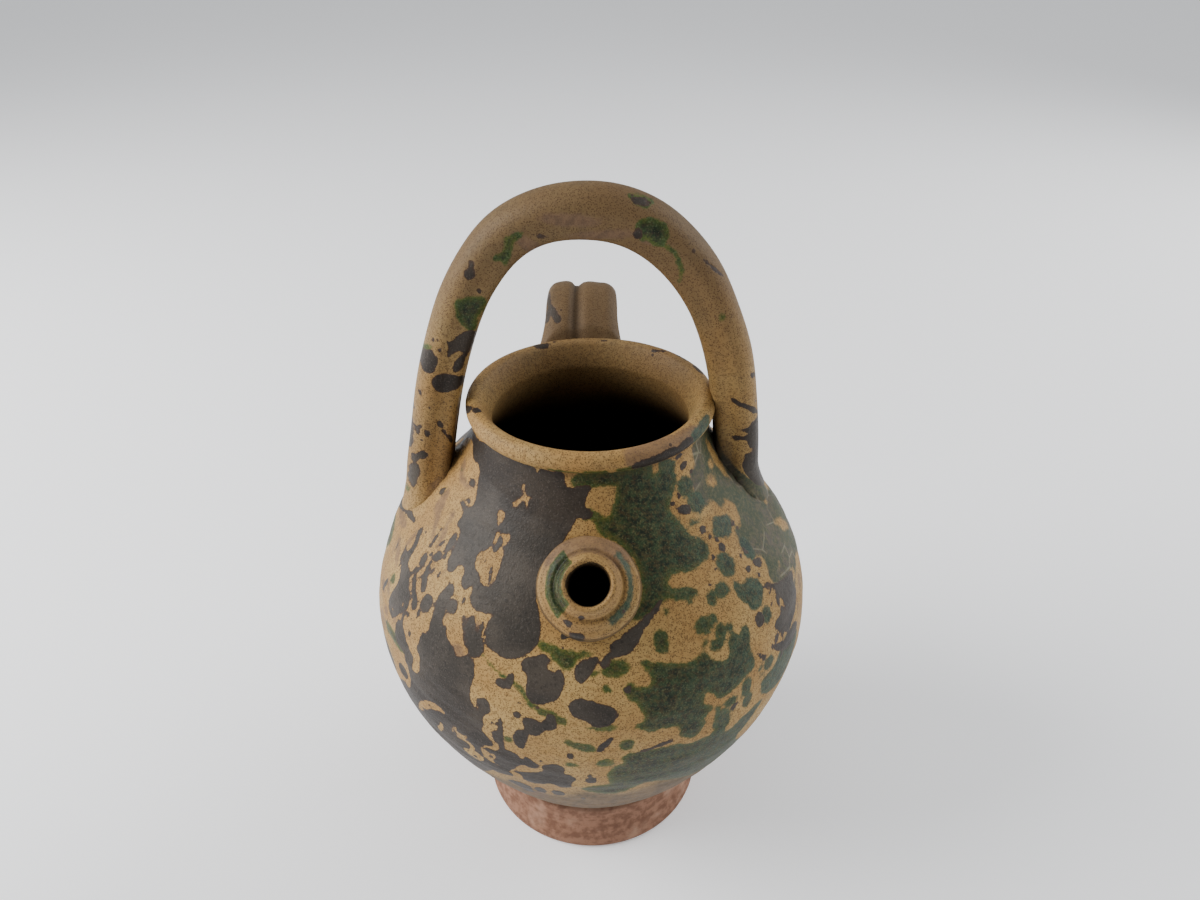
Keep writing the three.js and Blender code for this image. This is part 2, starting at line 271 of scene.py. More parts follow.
# The splashes, as outlines of (azimuth in degrees, height in mm).
# Azimuth 0 is the spout, and +X is to the right.
DARK_OUTLINES = [
    # the main pour, from under the lip down past the spout
    [(-98, 203), (-90, 207), (-80, 210.5), (-70, 212.5), (-62, 214.5), (-59, 216.8), (-50, 215.6),
     (-40, 216.8), (-26, 216.3), (-24.5, 214.8), (-22, 216.3), (-12.5, 216.3), (-11, 214), (-10.5, 212.3),
     (-8, 211.2), (-1, 212.3), (1, 211), (-0.8, 208.5), (-1.6, 205), (0, 204), (1.5, 202.5), (0, 201),
     (-4.5, 201), (-6, 199), (-8, 196), (-10.5, 192.5), (-13, 189.5), (-15, 186.5), (-15.8, 183),
     (-15.5, 178), (-14, 174), (-12.8, 170), (-12.8, 167), (-13.5, 163.5), (-16, 160.5), (-20, 158.3),
     (-24, 159.2), (-26.5, 161), (-27.7, 164), (-27.5, 168), (-26.8, 170.2), (-28.5, 169.5),
     (-31.5, 169.2), (-33.5, 169.8), (-35, 171.5), (-36, 175.3), (-37.5, 173.3), (-39.5, 173.6),
     (-40.5, 175), (-41, 178.2), (-43.5, 178), (-44.5, 175.6), (-46.5, 174.7), (-48, 176.5), (-49, 179.5),
     (-49.4, 184), (-51, 186), (-54.5, 187), (-54, 190), (-57, 191.6), (-60.5, 192.8), (-58, 193.4),
     (-55, 192.7), (-53, 193.3), (-52.3, 195.5), (-54, 198), (-56, 200.8), (-58.5, 204), (-62, 205.5),
     (-68, 205), (-76, 208), (-84, 206), (-92, 202)],
    # the second pour, which spreads over the lower left
    [(-44.4, 171), (-43.4, 172.7), (-41.5, 172.6), (-40.7, 170.5), (-41.2, 168), (-40.9, 162),
     (-40.5, 160), (-39, 160), (-38.3, 157.5), (-35.5, 155.3), (-33.8, 152.8), (-32, 154), (-30.8, 155),
     (-29.5, 154.3), (-28.3, 152), (-28, 148.5), (-28.6, 141), (-28.3, 137.5), (-26.5, 135), (-26.8, 137),
     (-27, 139.5), (-25.5, 141.3), (-24, 141), (-23.2, 139), (-23.2, 136), (-25, 132.3), (-25, 129),
     (-25.5, 124.5), (-24.5, 122.5), (-22.8, 117.5), (-24, 116), (-26, 114.8), (-27.1, 110), (-26.3, 105),
     (-24.5, 103), (-20.8, 100.5), (-19.3, 97), (-21, 95.5), (-23.5, 94), (-26, 94), (-27.5, 91),
     (-30, 86), (-34, 82), (-42, 80), (-50, 83), (-57, 92), (-62, 101), (-60, 110), (-56, 117), (-52, 118),
     (-50.5, 121), (-50, 127), (-50.5, 131), (-51.5, 134), (-52.5, 136.5), (-57, 138), (-58.5, 143),
     (-58, 146), (-56.5, 148.3), (-54.5, 147.5), (-52, 143.5), (-48.5, 140), (-48, 138.5), (-48.4, 136),
     (-48, 133.5), (-46, 133.8), (-45.4, 137), (-46, 139.5), (-45.5, 141), (-47.4, 145.3), (-46.7, 147.5),
     (-46.8, 150.5), (-46.2, 153), (-44.9, 153.5), (-44.5, 156), (-44.8, 159), (-45.3, 164),
     (-45.2, 167.5)],
    # the cluster to the left
    [(-69.3, 176.4), (-67.5, 176.8), (-65.8, 174.5), (-64.3, 171.5), (-63.5, 166.5), (-60, 165),
     (-57.5, 161.5), (-55.8, 160), (-54.7, 157.5), (-54.8, 154.5), (-57.5, 149.5), (-60.5, 144.3),
     (-62.5, 143.8), (-65.3, 147), (-64.5, 153), (-63.8, 156), (-63.9, 159.5), (-66.8, 163.5),
     (-67.8, 166.5), (-66.5, 170.5), (-68.8, 174)],
    [(-58.5, 165.5), (-57, 166.4), (-54, 163), (-51.8, 161), (-51.3, 158.5), (-52.2, 156.4), (-53.5, 157),
     (-54.5, 159.5), (-56.5, 162.5)],
    [(-55.2, 174), (-54, 173.3), (-52.8, 170), (-51.2, 167), (-50.7, 164.8), (-51.8, 163.7),
     (-53.5, 165.5), (-54.8, 168.5)],
    [(-92, 170), (-84, 172), (-79, 174.6), (-75, 175.2), (-74.2, 174), (-79, 172.2), (-84, 170),
     (-92, 165.5)],
    [(-33.8, 164.5), (-33.2, 167), (-32.3, 168), (-31, 166), (-30, 163.5), (-29.7, 166), (-29.2, 167.7),
     (-28.3, 166.3), (-28.2, 163), (-27, 160.5), (-26.8, 158), (-27.8, 155.8), (-29.5, 154.6),
     (-31, 155.8), (-31.8, 159), (-33, 161.5)],
    [(-22.6, 149.3), (-21.8, 151), (-20, 151.8), (-19.2, 153.9), (-18, 153.6), (-17.8, 151),
     (-18.5, 148.5), (-20, 147.7), (-21.8, 148)],
    [(-16.4, 158.5), (-15.5, 160.5), (-13, 161.5), (-11, 162.4), (-9.6, 160.5), (-9.9, 158.2), (-8.8, 157),
     (-7.5, 158.1), (-6.3, 157), (-5.7, 154), (-6.3, 150), (-7.7, 147), (-10, 145), (-12.3, 144.2),
     (-13.8, 145.5), (-14.7, 148), (-14.6, 151), (-14.8, 154), (-16.2, 156)],
    [(-3.7, 157.5), (-3, 160), (-1.3, 161.7), (2.2, 162.5), (1.8, 160), (0.8, 157.5), (-0.5, 155),
     (-1.9, 153.8), (-3.1, 155)],
    [(-4.8, 145), (-4, 147.3), (-2, 148.3), (0.3, 147.8), (2.5, 146.4), (4.7, 145.3), (6.1, 143),
     (6.2, 140), (5, 137.8), (3, 136.3), (1, 136.8), (-0.5, 138.8), (-2, 140), (-4, 141.7)],
    [(-15.3, 136), (-14.8, 138), (-12.5, 138.2), (-11, 137), (-10.2, 138.5), (-9.7, 140.6), (-8.3, 141.4),
     (-7.4, 139.5), (-7.4, 135.5), (-8.8, 133.7), (-10, 133.5), (-11, 131), (-12.5, 129.7), (-13.8, 130.3),
     (-14, 127), (-14.7, 123), (-15.3, 121), (-16.8, 121.3), (-17.8, 124), (-17.5, 128), (-16.7, 131),
     (-15, 132.5)],
    [(-23, 125), (-22.3, 127.5), (-21.3, 128.5), (-21.6, 132), (-21.2, 135), (-20.3, 134.5), (-20, 129),
     (-20.1, 121), (-19.9, 118), (-18.5, 117.6), (-16.8, 116), (-16, 114), (-15.2, 116.2), (-14, 115.6),
     (-12.7, 113.5), (-11.9, 111), (-12.8, 109), (-14.5, 108.5), (-15.8, 109.8), (-17.5, 107),
     (-19.5, 102.3), (-20.3, 100.5), (-21.8, 101), (-23.5, 103), (-24.3, 105), (-23.5, 107.5), (-23, 111),
     (-24.5, 111.2), (-25.9, 112.5), (-25.3, 114.4), (-23, 114.5), (-21.8, 116), (-21.7, 119),
     (-22.8, 121.5)],
    [(-19.6, 101.7), (-17.5, 103.3), (-14.5, 104.5), (-11.3, 107.5), (-11.4, 111), (-10.3, 113.3),
     (-8, 114.7), (-6.2, 113), (-5.8, 110), (-6.5, 108), (-5, 107), (-3.4, 105), (-3.4, 102), (-4.5, 99.5),
     (-4.6, 96), (-5.8, 93.9), (-7.5, 94.2), (-9, 96.3), (-10.5, 96.7), (-12, 95.3), (-14, 93.8),
     (-15.5, 93.9), (-17.1, 96), (-17.4, 99.5)],
    # the long leaf below the spout and its neighbours
    [(2.6, 159.5), (3, 161.5), (4.3, 163), (5.4, 164), (5.3, 165.5), (7, 167.2), (9.5, 169), (15, 172.3),
     (18, 174.3), (21.5, 176.3), (20, 174), (16, 170.3), (14, 168), (12, 165), (9.5, 162.6), (7, 162),
     (5.4, 161.6), (5, 160), (3.9, 158.7)],
    [(1.5, 124.3), (2.2, 127), (3.5, 129.5), (5.2, 131.2), (5.1, 129.3), (4.3, 126.5), (3, 123.9),
     (2, 123.2)],
    [(10.3, 120), (14, 121), (17, 121.8), (19.4, 123), (19, 124.5), (16.5, 124), (13.5, 122.5),
     (11, 121.4)],
    [(-23, 85.5), (-22.3, 88.5), (-20, 90.2), (-17.5, 89.6), (-16.1, 87), (-16.2, 83), (-16.8, 77),
     (-19, 76), (-20.5, 82)],
    [(53, 148), (54, 150.3), (57, 150.5), (58.5, 149), (60.3, 146.5), (61.5, 143), (60.5, 140.6),
     (59, 140.3), (58, 142.5), (56, 144.5), (54, 146)],
    [(44.3, 145), (45.5, 144.2), (47, 142.3), (48, 140.6), (46.7, 140.3), (45.3, 142)],
    # round the side, where the photograph only shows their edges
    [(-76, 120), (-70, 126), (-64, 126), (-60, 121), (-62, 113), (-70, 104), (-80, 100), (-84, 108)],
    [(-104, 214), (-95, 211), (-100, 198), (-110, 186), (-118, 183), (-117, 195), (-110, 207)],
    # the worn patch by the right-hand edge
    [(54.2, 164.2), (58.7, 161.5), (64.3, 158.7), (69.3, 156.7), (71.1, 155.6), (69.2, 152), (69.6, 148.3),
     (68.4, 144.7), (65.5, 142.4), (62.1, 140.6), (59.7, 138.7), (53.5, 146.7), (54.5, 150.1), (57.2, 151),
     (57.4, 153.8), (59.1, 151.7), (59.6, 149.3), (60.1, 152.6), (59, 156.7), (57.9, 160.4),
     (55.2, 162.7)],
    [(63.8, 138.5), (66.6, 134.7), (65.3, 131), (61.7, 130.4), (57.5, 132.1), (50.6, 140.7), (52.3, 141.5),
     (56.5, 138.3), (59.7, 138.7)],
]
# Rounder drops: azimuth, height, half width in mm, half height in mm, tilt in degrees (positive leans left).
DARK_DROPS = [
    (-53.6, 125.6, 4.2, 3.2, 0), (-57.9, 171.6, 2.1, 2.8, 0), (-57.2, 168.6, 0.9, 1.5, 0),
    (-53.2, 176, 2.5, 1.9, -15), (-50.6, 177.5, 1.1, 1.1, 0), (-56, 175, 1.0, 0.9, 0),
    (-49, 172.2, 1.0, 1.2, 0), (-52, 171.4, 0.7, 1.7, 20), (-54.8, 179.6, 0.8, 2.2, 25),
    (-58.8, 176.2, 1.3, 0.9, 0), (-51.3, 181.6, 2.0, 3.4, 0), (-49.7, 157.4, 1.1, 2.1, 0),
    (-53.8, 153.4, 1.5, 1.4, 0), (-51.2, 153.7, 0.9, 0.9, 0), (-51, 147.6, 1.2, 1.9, 0),
    (-55.3, 194.2, 2.0, 0.8, 15), (-59.5, 199.2, 3.0, 1.5, 0), (-39.6, 166.8, 2.9, 2.6, 0),
    (-36.7, 170, 1.0, 1.3, 0), (-35.1, 165.6, 0.8, 0.8, 0), (-16, 144, 0.9, 1.0, 0),
    (-16.6, 138.4, 1.7, 1.7, 0), (-22.6, 131.4, 0.8, 1.2, 0), (-4.3, 120.5, 1.4, 2.2, -15),
    (-11.3, 115.5, 1.1, 0.9, 0), (0.2, 102.6, 2.4, 2.7, 0), (-8.8, 85, 3.0, 3.8, 0),
    (-13.7, 85.3, 2.6, 4.2, 0), (-24.6, 108.4, 0.9, 1.0, 0), (-30.8, 113, 1.1, 1.0, 0),
    (-29.8, 102, 1.1, 1.1, 0), (-31.7, 104.1, 0.8, 0.9, 0), (-42.3, 121, 1.0, 1.1, 0),
    (-45.8, 113.2, 1.1, 1.1, 0), (-48.3, 162.2, 3.2, 3.6, 15), (-35.4, 183, 0.7, 0.7, 0),
    (48.4, 156.1, 2.8, 2.7, 0), (47.8, 181.9, 1.7, 1.5, 0), (42.6, 181, 1.1, 0.8, 0),
    (52.7, 172, 2.0, 1.2, 0), (52.8, 176.7, 1.1, 0.8, 0), (55.3, 177, 2.3, 0.9, 50),
    (57.5, 171, 3.2, 1.5, 10), (55.2, 168.2, 1.5, 0.9, 40), (56.3, 163.3, 3.0, 0.9, 22),
    (57.8, 156, 1.3, 3.4, 8), (48.5, 210.3, 2.4, 1.3, 0), (52, 207, 1.5, 0.9, 0),
    (46.5, 214.8, 2.5, 0.9, 0), (40.3, 197.2, 3.3, 1.6, 10), (36.4, 200.5, 1.3, 0.7, 0),
    (40.3, 202, 0.9, 1.2, 0), (44.3, 189.2, 2.3, 1.2, 0), (45.5, 186.5, 0.9, 0.7, 0),
    (47.6, 184.6, 1.1, 0.7, 0), (53.2, 143.7, 1.8, 1.7, 0), (50.8, 142.6, 0.9, 0.8, 0),
    (58.3, 185, 1.4, 0.7, 0), (37, 174.7, 0.8, 0.6, 0), (41.4, 178, 0.8, 0.6, 0), (60.5, 156, 0.9, 2.2, 0),
    (54.8, 157, 0.8, 0.9, 0), (55.8, 160.5, 0.9, 0.8, 0), (53.2, 151.5, 1.4, 0.9, 0),
    (56, 142, 1.3, 2.0, -20), (-42, 161.2, 0.7, 0.9, 0),
]
# Bare islands inside the dark pours.
TAN_OUTLINES = [
    [(-30, 208.8), (-29.2, 207), (-28, 205.6), (-26.5, 205.4), (-25, 205.1), (-26.4, 204), (-26.2, 201.5),
     (-27.3, 203), (-28.8, 203.7), (-30, 202.7), (-31.3, 200.7), (-33.1, 200.5), (-33.4, 202),
     (-31.5, 203), (-29.8, 204.3), (-29.5, 205.5), (-30.8, 207.7)],
    [(-38.5, 197.6), (-36.5, 198.1), (-34.7, 196.5), (-34.8, 195.5), (-35.7, 193.8), (-37, 195)],
    [(-35.4, 189), (-35.7, 191.2), (-34.5, 192), (-34.1, 190), (-34.8, 187.4)],
    [(-33.8, 191.2), (-30.2, 192.5), (-29.9, 190), (-31.5, 188.6), (-31.8, 190), (-33, 190.9)],
    [(-38.8, 184), (-37.5, 185.1), (-35, 186.9), (-33.5, 186.1), (-31.5, 187.9), (-29.9, 186.7),
     (-29.9, 178.1), (-33.5, 176.9), (-35.5, 179.2), (-37.5, 180.1), (-38.4, 182)],
    [(-43.7, 121.5), (-41.5, 124.1), (-39.5, 125), (-37.2, 124), (-36.9, 122.2), (-39, 121.7),
     (-41.5, 119.7), (-44, 116), (-47.5, 109.7), (-49.4, 107.8), (-48.8, 111), (-46.8, 117), (-45, 119.6)],
    [(-33.7, 118.8), (-33.1, 116), (-32, 115), (-30.4, 116), (-30.8, 113.5), (-29.2, 110.3),
     (-29.4, 107.5), (-28.4, 106), (-27.2, 103.5), (-27.5, 101), (-28.8, 99.4), (-31, 99.8), (-32.8, 102),
     (-33.1, 104.2), (-31.4, 105.8), (-30.5, 108), (-30.6, 110.3), (-34, 111.4), (-35.5, 113.5),
     (-34.9, 116)],
    [(-39, 114.5), (-38.8, 111), (-40, 107), (-41, 105.5), (-41.6, 107.5), (-40.4, 111)],
    [(-57.5, 154.6), (-56.9, 155), (-56.7, 153.8), (-57.3, 153.2)],
    [(-62, 148.2), (-61.2, 148), (-61.3, 146.9), (-62.1, 147)],
]
GREEN_OUTLINES = [
    # under the lip, above and right of the spout
    [(-1, 204.3), (2.5, 203.2), (6.5, 201.5), (9, 202.8), (10, 205), (11, 207), (11.5, 211), (10, 211.3),
     (-6, 211.3), (-8.3, 212.3), (-8, 214.5), (-4, 216.8), (12, 217), (28, 217.2), (30.3, 216),
     (30, 213.2), (33.3, 213.2), (34, 216), (38, 216.5), (42, 214.8), (44.5, 213), (42.2, 210.5),
     (42.5, 208), (41, 206), (37, 202.5), (35.5, 201), (34.5, 199), (35, 196.5), (36.5, 193.5),
     (37.5, 191), (39, 189), (42, 187.5), (43.2, 185), (42, 182.3), (40, 181.4), (33, 180.4), (27, 181.4),
     (24.5, 179.7), (25.5, 178), (28.5, 177.5), (32, 176.2), (32.8, 174.6), (31, 173.4), (27, 174),
     (21.5, 175.2), (17, 172.4), (11, 172), (14, 176), (15.5, 179), (16, 183), (15.3, 187), (13, 190.5),
     (10, 193.3), (7, 195), (4.5, 195.8), (2.5, 197.6), (1, 200.2), (-2.5, 201), (-3, 203)],
    # the big patch right of centre
    [(13.2, 157), (12.6, 159), (14, 160.2), (15.5, 159), (20, 157.5), (25.5, 155.5), (27, 157),
     (29, 156.7), (30.5, 154.5), (32, 152.5), (34, 151), (35.6, 152), (36, 155), (37, 157.6),
     (38.5, 158.7), (40.2, 156.5), (41.5, 158.1), (43.2, 158), (43.9, 156), (43.2, 152.5), (42.5, 149),
     (43.3, 145), (43, 142), (42, 140), (39.5, 139.4), (35, 136.6), (32, 136.1), (30.3, 138), (29, 140.7),
     (27.6, 141.7), (27.3, 139), (27.8, 136.5), (29.4, 135), (29.5, 133), (27.3, 130.2), (27.6, 128),
     (27, 124.5), (25.5, 122.1), (23.8, 121.6), (22, 123.4), (20.6, 126), (20.7, 129), (19.8, 130.8),
     (16, 131.2), (13.5, 130.9), (12.2, 132.8), (10.1, 134.5), (11.1, 136.5), (12.2, 138.3), (10.8, 144.5),
     (9.1, 147), (7.9, 149.5), (8.1, 152), (9.5, 153.2), (11.5, 151.8), (13.3, 151.2), (14.5, 153),
     (14.4, 155.5)],
    # low on the right
    [(5.3, 112), (5.8, 113.6), (7.6, 115.5), (7.2, 118.5), (9, 120.9), (14, 121.5), (21, 120.6),
     (23.5, 118.4), (26, 118.4), (30, 119.5), (29.7, 124), (30.3, 130), (32.5, 130.5), (34.7, 127),
     (35.2, 121), (34, 118), (34.2, 115.8), (36, 115), (38, 117.2), (43, 119.2), (46.5, 118.7), (47, 117),
     (45, 114), (43.5, 110), (41, 106), (40, 102), (42, 97), (46, 92), (42, 84), (33, 80), (27, 84),
     (22, 89), (16, 93.8), (13, 93.3), (9.5, 88), (6, 85.8), (3, 87.3), (-1.8, 92), (-1.8, 96), (2, 98),
     (4.5, 99), (4.5, 103), (4, 106.5)],
    [(44.1, 168.5), (44.5, 171.2), (46, 172), (47.3, 169.8), (50, 170.1), (52.5, 169.2), (54.2, 167),
     (54.3, 164), (53, 161.4), (50, 159.8), (47.3, 160.3), (46.3, 163), (45, 165.5)],
    [(-13.8, 165.8), (-10, 165.7), (-5, 164.2), (1, 163.8), (1, 162.6), (-2.5, 161.5), (-3.8, 158.5),
     (-6, 158), (-8, 160), (-10, 162.2), (-12, 163)],
    [(-27.5, 158.3), (-22, 153.8), (-17, 151.6), (-14, 147.5), (-11.5, 144.2), (-8, 142.5), (-5, 139.5),
     (-5, 136.8), (-7.5, 137.5), (-11, 140.5), (-14, 143.6), (-16.5, 148.6), (-22, 152.4), (-27, 157)],
    [(-5.8, 128.5), (-4.6, 130.2), (-2.5, 128.3), (1, 127), (1.5, 123.5), (-0.5, 123.2), (-4, 126)],
    [(-59.5, 140.5), (-54, 140), (-52, 137), (-54.5, 135), (-60, 134.5), (-64.5, 134), (-66, 137)],
    [(-91, 160), (-87, 163.8), (-82.5, 161.5), (-81, 157), (-83.5, 152.5), (-88, 150.5), (-92, 154)],
    [(56, 138.5), (62, 139), (66, 132), (66, 124), (60, 116), (52, 117), (47, 121), (45.5, 126),
     (47, 131.5), (51, 131.5), (53, 134.5)],
]
GREEN_DROPS = [
    (31, 164.9, 4.4, 2.9, 0), (34.2, 166, 2.0, 1.6, 30), (35.3, 161.1, 3.0, 2.4, 0),
    (29.7, 159.5, 1.7, 1.3, 0), (33.2, 157.4, 3.6, 2.2, 0), (38, 160.6, 2.2, 1.7, 0),
    (36, 171.2, 2.3, 2.5, 10), (40.1, 171.8, 3.9, 2.4, 0), (21.4, 172.6, 1.3, 1.2, 0),
    (29.2, 173.1, 1.0, 0.8, 0), (45.8, 177.3, 4.4, 3.9, 0), (51.4, 155.4, 3.2, 3.3, 0),
    (34.7, 132, 3.6, 2.5, 0), (31.1, 131.6, 1.5, 2.0, 0), (39.8, 134.2, 3.0, 4.6, 0),
    (40.3, 126.4, 3.2, 4.0, 0), (45.1, 137.7, 1.5, 1.2, 0), (48.6, 136.4, 4.0, 3.3, 0),
    (47.2, 128.4, 3.4, 3.0, 0), (45.5, 133, 1.4, 1.0, 0), (8.4, 126.3, 3.0, 3.1, 0),
    (3.6, 116, 3.4, 2.8, 0), (-4.4, 115, 2.8, 1.6, 0), (4, 151.6, 1.9, 1.6, 0), (18.4, 164.6, 3.0, 3.8, 0),
    (6.4, 158.4, 5.2, 2.9, 0), (3.6, 135.8, 6.0, 1.5, 0), (-18.6, 124.6, 2.2, 1.7, 0),
    (-66.7, 155.8, 2.4, 2.2, 0), (-10, 208.5, 5.5, 2.6, 0), (1, 157, 1.7, 1.4, 0),
    (14.5, 146, 1.2, 0.9, 0), (-12, 148.5, 2.2, 2.0, 0), (47.5, 197, 4.5, 3.4, 0),
    (45.5, 203.6, 4.4, 3.6, 0), (53, 186.5, 6.5, 3.4, 0), (41.8, 192.5, 3.0, 0.9, 0),
    (57, 176.5, 3.4, 3.8, 0), (-95, 138, 10.0, 7.0, 0),
]
# The thin grey-green wash on the right, and the bare patches in it.
WASH_OUTLINES = [
    [(58.5, 213.8), (57.3, 210), (55, 207.5), (51, 206.7), (49.5, 203), (49, 197), (51, 194.8),
     (56, 194.3), (57.5, 191), (58.5, 190), (63, 190.5), (65, 187), (62, 183), (57.5, 183.3), (55.5, 179),
     (55, 174), (57.5, 172.8), (60, 172), (61, 169), (59.3, 166), (59, 163), (60, 160), (61, 156),
     (63.2, 151), (62.5, 147), (64, 144), (69, 149), (76, 153), (80, 153.5), (87, 147), (96, 140),
     (112, 138), (118, 150), (112, 170), (100, 186), (96, 204), (86, 213), (72, 215.5)],
]
WASH_HOLES = [
    (62.5, 199, 3.2, 1.8, 12), (69, 202.4, 2.2, 1.5, 0), (76, 201, 2.8, 7.5, 0),
    (70.5, 154.6, 4.2, 2.4, 0), (82, 166.2, 7.0, 2.2, 38), (66.5, 152.8, 1.6, 1.2, 0),
    (82.5, 176.5, 1.4, 0.9, 0), (66, 163, 0.9, 0.6, 0), (94, 178, 6.0, 5.0, 0), (104, 160, 7.0, 6.0, 0),
]
# Thin brown slip, half covering.
BROWN_OUTLINES = [
    [(-71.8, 190.8), (-69, 190.2), (-66.5, 187.5), (-65.5, 185), (-63.5, 183), (-59, 177.4),
     (-60.5, 177.4), (-66, 182), (-70, 183), (-72.3, 185.5)],
    [(-76.5, 201.8), (-72, 200.7), (-69.5, 198.7), (-66, 198), (-61, 198), (-57, 200.7), (-56.8, 198.4),
     (-60, 196.6), (-66, 195.6), (-70, 196), (-74.5, 198.3)],
    [(-77.5, 165.6), (-75, 166), (-71, 164.6), (-69, 162.2), (-67.8, 160), (-70.5, 160.2), (-76.7, 164)],
    [(-86, 169.5), (-82, 171), (-77.5, 171), (-77.2, 168.6), (-81, 167.4), (-86, 167.6)],
    [(-69.8, 154.6), (-68.6, 154.4), (-65.3, 150), (-66.2, 149), (-68.8, 151.4)],
]
BROWN_DROPS = [
    (-30.3, 165, 1.2, 1.5, 0), (-28, 196, 3.2, 2.4, 0), (-34.5, 205.5, 5.0, 3.0, 0),
    (-33.8, 154.8, 3.6, 2.2, 0), (-58.8, 187.6, 1.4, 1.2, 0), (-58.5, 181.5, 0.9, 0.6, 0),
    (-59.6, 145.6, 1.6, 2.6, 0), (74.5, 146, 3.0, 3.0, 0), (61.7, 144.6, 1.0, 3.0, 15),
    (63.2, 141.5, 1.2, 4.0, 15), (68.2, 142, 1.2, 3.5, 20), (79, 142, 3.2, 2.2, 0),
    (62.6, 199.2, 0.9, 0.6, 0), (70.8, 154.4, 1.5, 1.0, 0), (-66, 142, 2.5, 2.2, 0),
    (-72, 147, 3.5, 2.0, 0), (-69, 133, 5.5, 5.0, 0), (-16, 76, 5.0, 5.5, 0), (14, 98, 7.0, 4.0, 0),
    (24, 96, 5.0, 4.0, 0),
]
# Splashes round the back, which the photograph doesn't show.
BACK_DARK = [
    [(128, 216), (150, 217), (163, 212), (160, 202), (154, 196), (156, 184), (149, 174), (144, 160),
     (138, 150), (131, 154), (128, 168), (131, 184), (124, 196), (122, 208)],
    [(196, 176), (206, 182), (217, 180), (222, 168), (218, 152), (224, 138), (216, 122), (206, 118),
     (199, 128), (203, 144), (197, 158), (190, 166)],
    [(150, 128), (160, 132), (172, 128), (178, 116), (170, 104), (158, 98), (148, 104), (143, 116)],
    [(230, 108), (242, 112), (252, 104), (246, 92), (234, 86), (224, 94)],
]
BACK_GREEN = [
    [(168, 196), (180, 200), (190, 194), (192, 182), (184, 176), (178, 166), (170, 172), (164, 184)],
    [(116, 132), (128, 138), (138, 130), (140, 116), (132, 104), (120, 102), (110, 112)],
    [(180, 148), (190, 150), (196, 142), (190, 132), (181, 136)],
]
# Splashes on the hoop, as seen from the front: (x, height) in mm on the hoop's front face.
HOOP_DARK = [
    [(-54.6, 252.5), (-52.8, 252), (-49, 254.8), (-45.6, 256.4), (-42.6, 256), (-42.8, 253.8),
     (-44.5, 250), (-46.8, 247), (-49.6, 247.4), (-52.6, 246.4), (-54.1, 244.8), (-54.8, 246.5),
     (-53.8, 249)],
    [(-44, 251), (-45, 249), (-46.9, 245.9), (-48.6, 242), (-50.3, 239.3), (-51.8, 238.2), (-53, 239),
     (-52.9, 241), (-51.6, 243.7), (-49.3, 246), (-47, 248.6)],
    [(-64, 249), (-61.9, 248.4), (-60, 248.5), (-59.3, 246.5), (-58.2, 243.7), (-58.8, 241),
     (-60.5, 238.7), (-62.5, 238.2), (-64.4, 239.1), (-65.3, 242), (-65, 246)],
    [(-61.9, 233.9), (-61, 235.8), (-58.7, 237.6), (-54.8, 238), (-51, 237.2), (-48, 236.8),
     (-49.3, 233.9), (-51.4, 231.6), (-55, 229.9), (-58, 229.5), (-60.6, 230.6)],
    [(-73.8, 201), (-71.1, 201.1), (-70, 201.9), (-68.4, 202.5), (-66.6, 201), (-67.2, 199.4),
     (-68.6, 198.1), (-70.1, 198.5), (-71.6, 197), (-73.4, 196.4)],
    [(-74.8, 195.6), (-72.7, 196.5), (-71, 195.4), (-70.6, 193), (-71.3, 190), (-72.3, 187.6),
     (-73.7, 184.4), (-75, 184.4), (-76.2, 188), (-76.2, 191), (-75.4, 193.2)],
    [(-43.2, 283.6), (-42, 284.3), (-41, 282.6), (-41.5, 280.8), (-41.2, 278.8), (-43.1, 276.5),
     (-45, 277), (-45.5, 279.3), (-44, 281.2)],
    [(-70.8, 215.5), (-69.8, 214.4), (-68.2, 215.5), (-67.7, 213.6), (-68.7, 212), (-68.6, 210.5),
     (-70.3, 210.2)],
    [(-70.9, 218.8), (-71.2, 212), (-72.1, 206), (-73.3, 204.4), (-75, 206), (-74, 213), (-72, 218.2)],
    [(55.4, 226.5), (56.6, 227), (58.7, 225.6), (61.8, 224.2), (64.4, 223.3), (66.6, 221.9), (66.4, 220.5),
     (65.1, 220.1), (63, 221.5), (59.9, 223.2), (56.8, 224.6)],
    [(69.5, 224), (67, 219), (65.5, 216.6), (64.2, 214.5), (62.3, 213), (59.4, 211.8), (61.9, 211.3),
     (63.6, 211), (63.1, 209.8), (60.6, 209.6), (56.9, 209.2), (59.2, 207.4), (62.3, 207.3), (64, 206.3),
     (64.9, 203.9), (66.8, 203.6), (66.3, 202.6), (64.9, 200.9), (62.8, 201.4), (60.8, 204.1),
     (63.4, 199.8), (63.2, 197.3), (61.3, 195.4), (59, 193.9), (57, 191), (58, 176), (80, 170), (80, 222)],
]
HOOP_DARK_DROPS = [
    (-59.4, 252.5, 0.5, 0.8, 0), (-57.6, 252.5, 0.5, 0.8, 0), (-57.2, 248.1, 0.8, 0.9, 0),
    (-66.8, 229.4, 0.6, 1.9, -8), (-69.8, 224.3, 0.5, 1.7, 0), (-65.8, 210.8, 1.3, 1.8, 0),
    (-60.2, 215.1, 1.2, 1.9, -20), (-58.8, 211.4, 0.9, 2.0, -20), (-56.7, 208, 0.9, 2.6, -25),
    (-57.8, 225.4, 0.5, 0.8, 0), (-63.8, 222.4, 0.6, 0.8, 0), (-68.8, 207.4, 0.9, 0.6, 0),
    (63.3, 237.4, 0.9, 1.3, 0), (65.7, 225.8, 0.6, 0.5, 0), (-40.4, 272.4, 0.7, 1.2, -20),
    (-16.8, 292.8, 2.6, 0.8, 10), (17.3, 293.8, 1.7, 2.2, -15), (45, 281, 4.6, 0.7, 41),
    (18, 305.4, 3.6, 1.5, 12), (48, 291, 1.2, 7, -45),
]
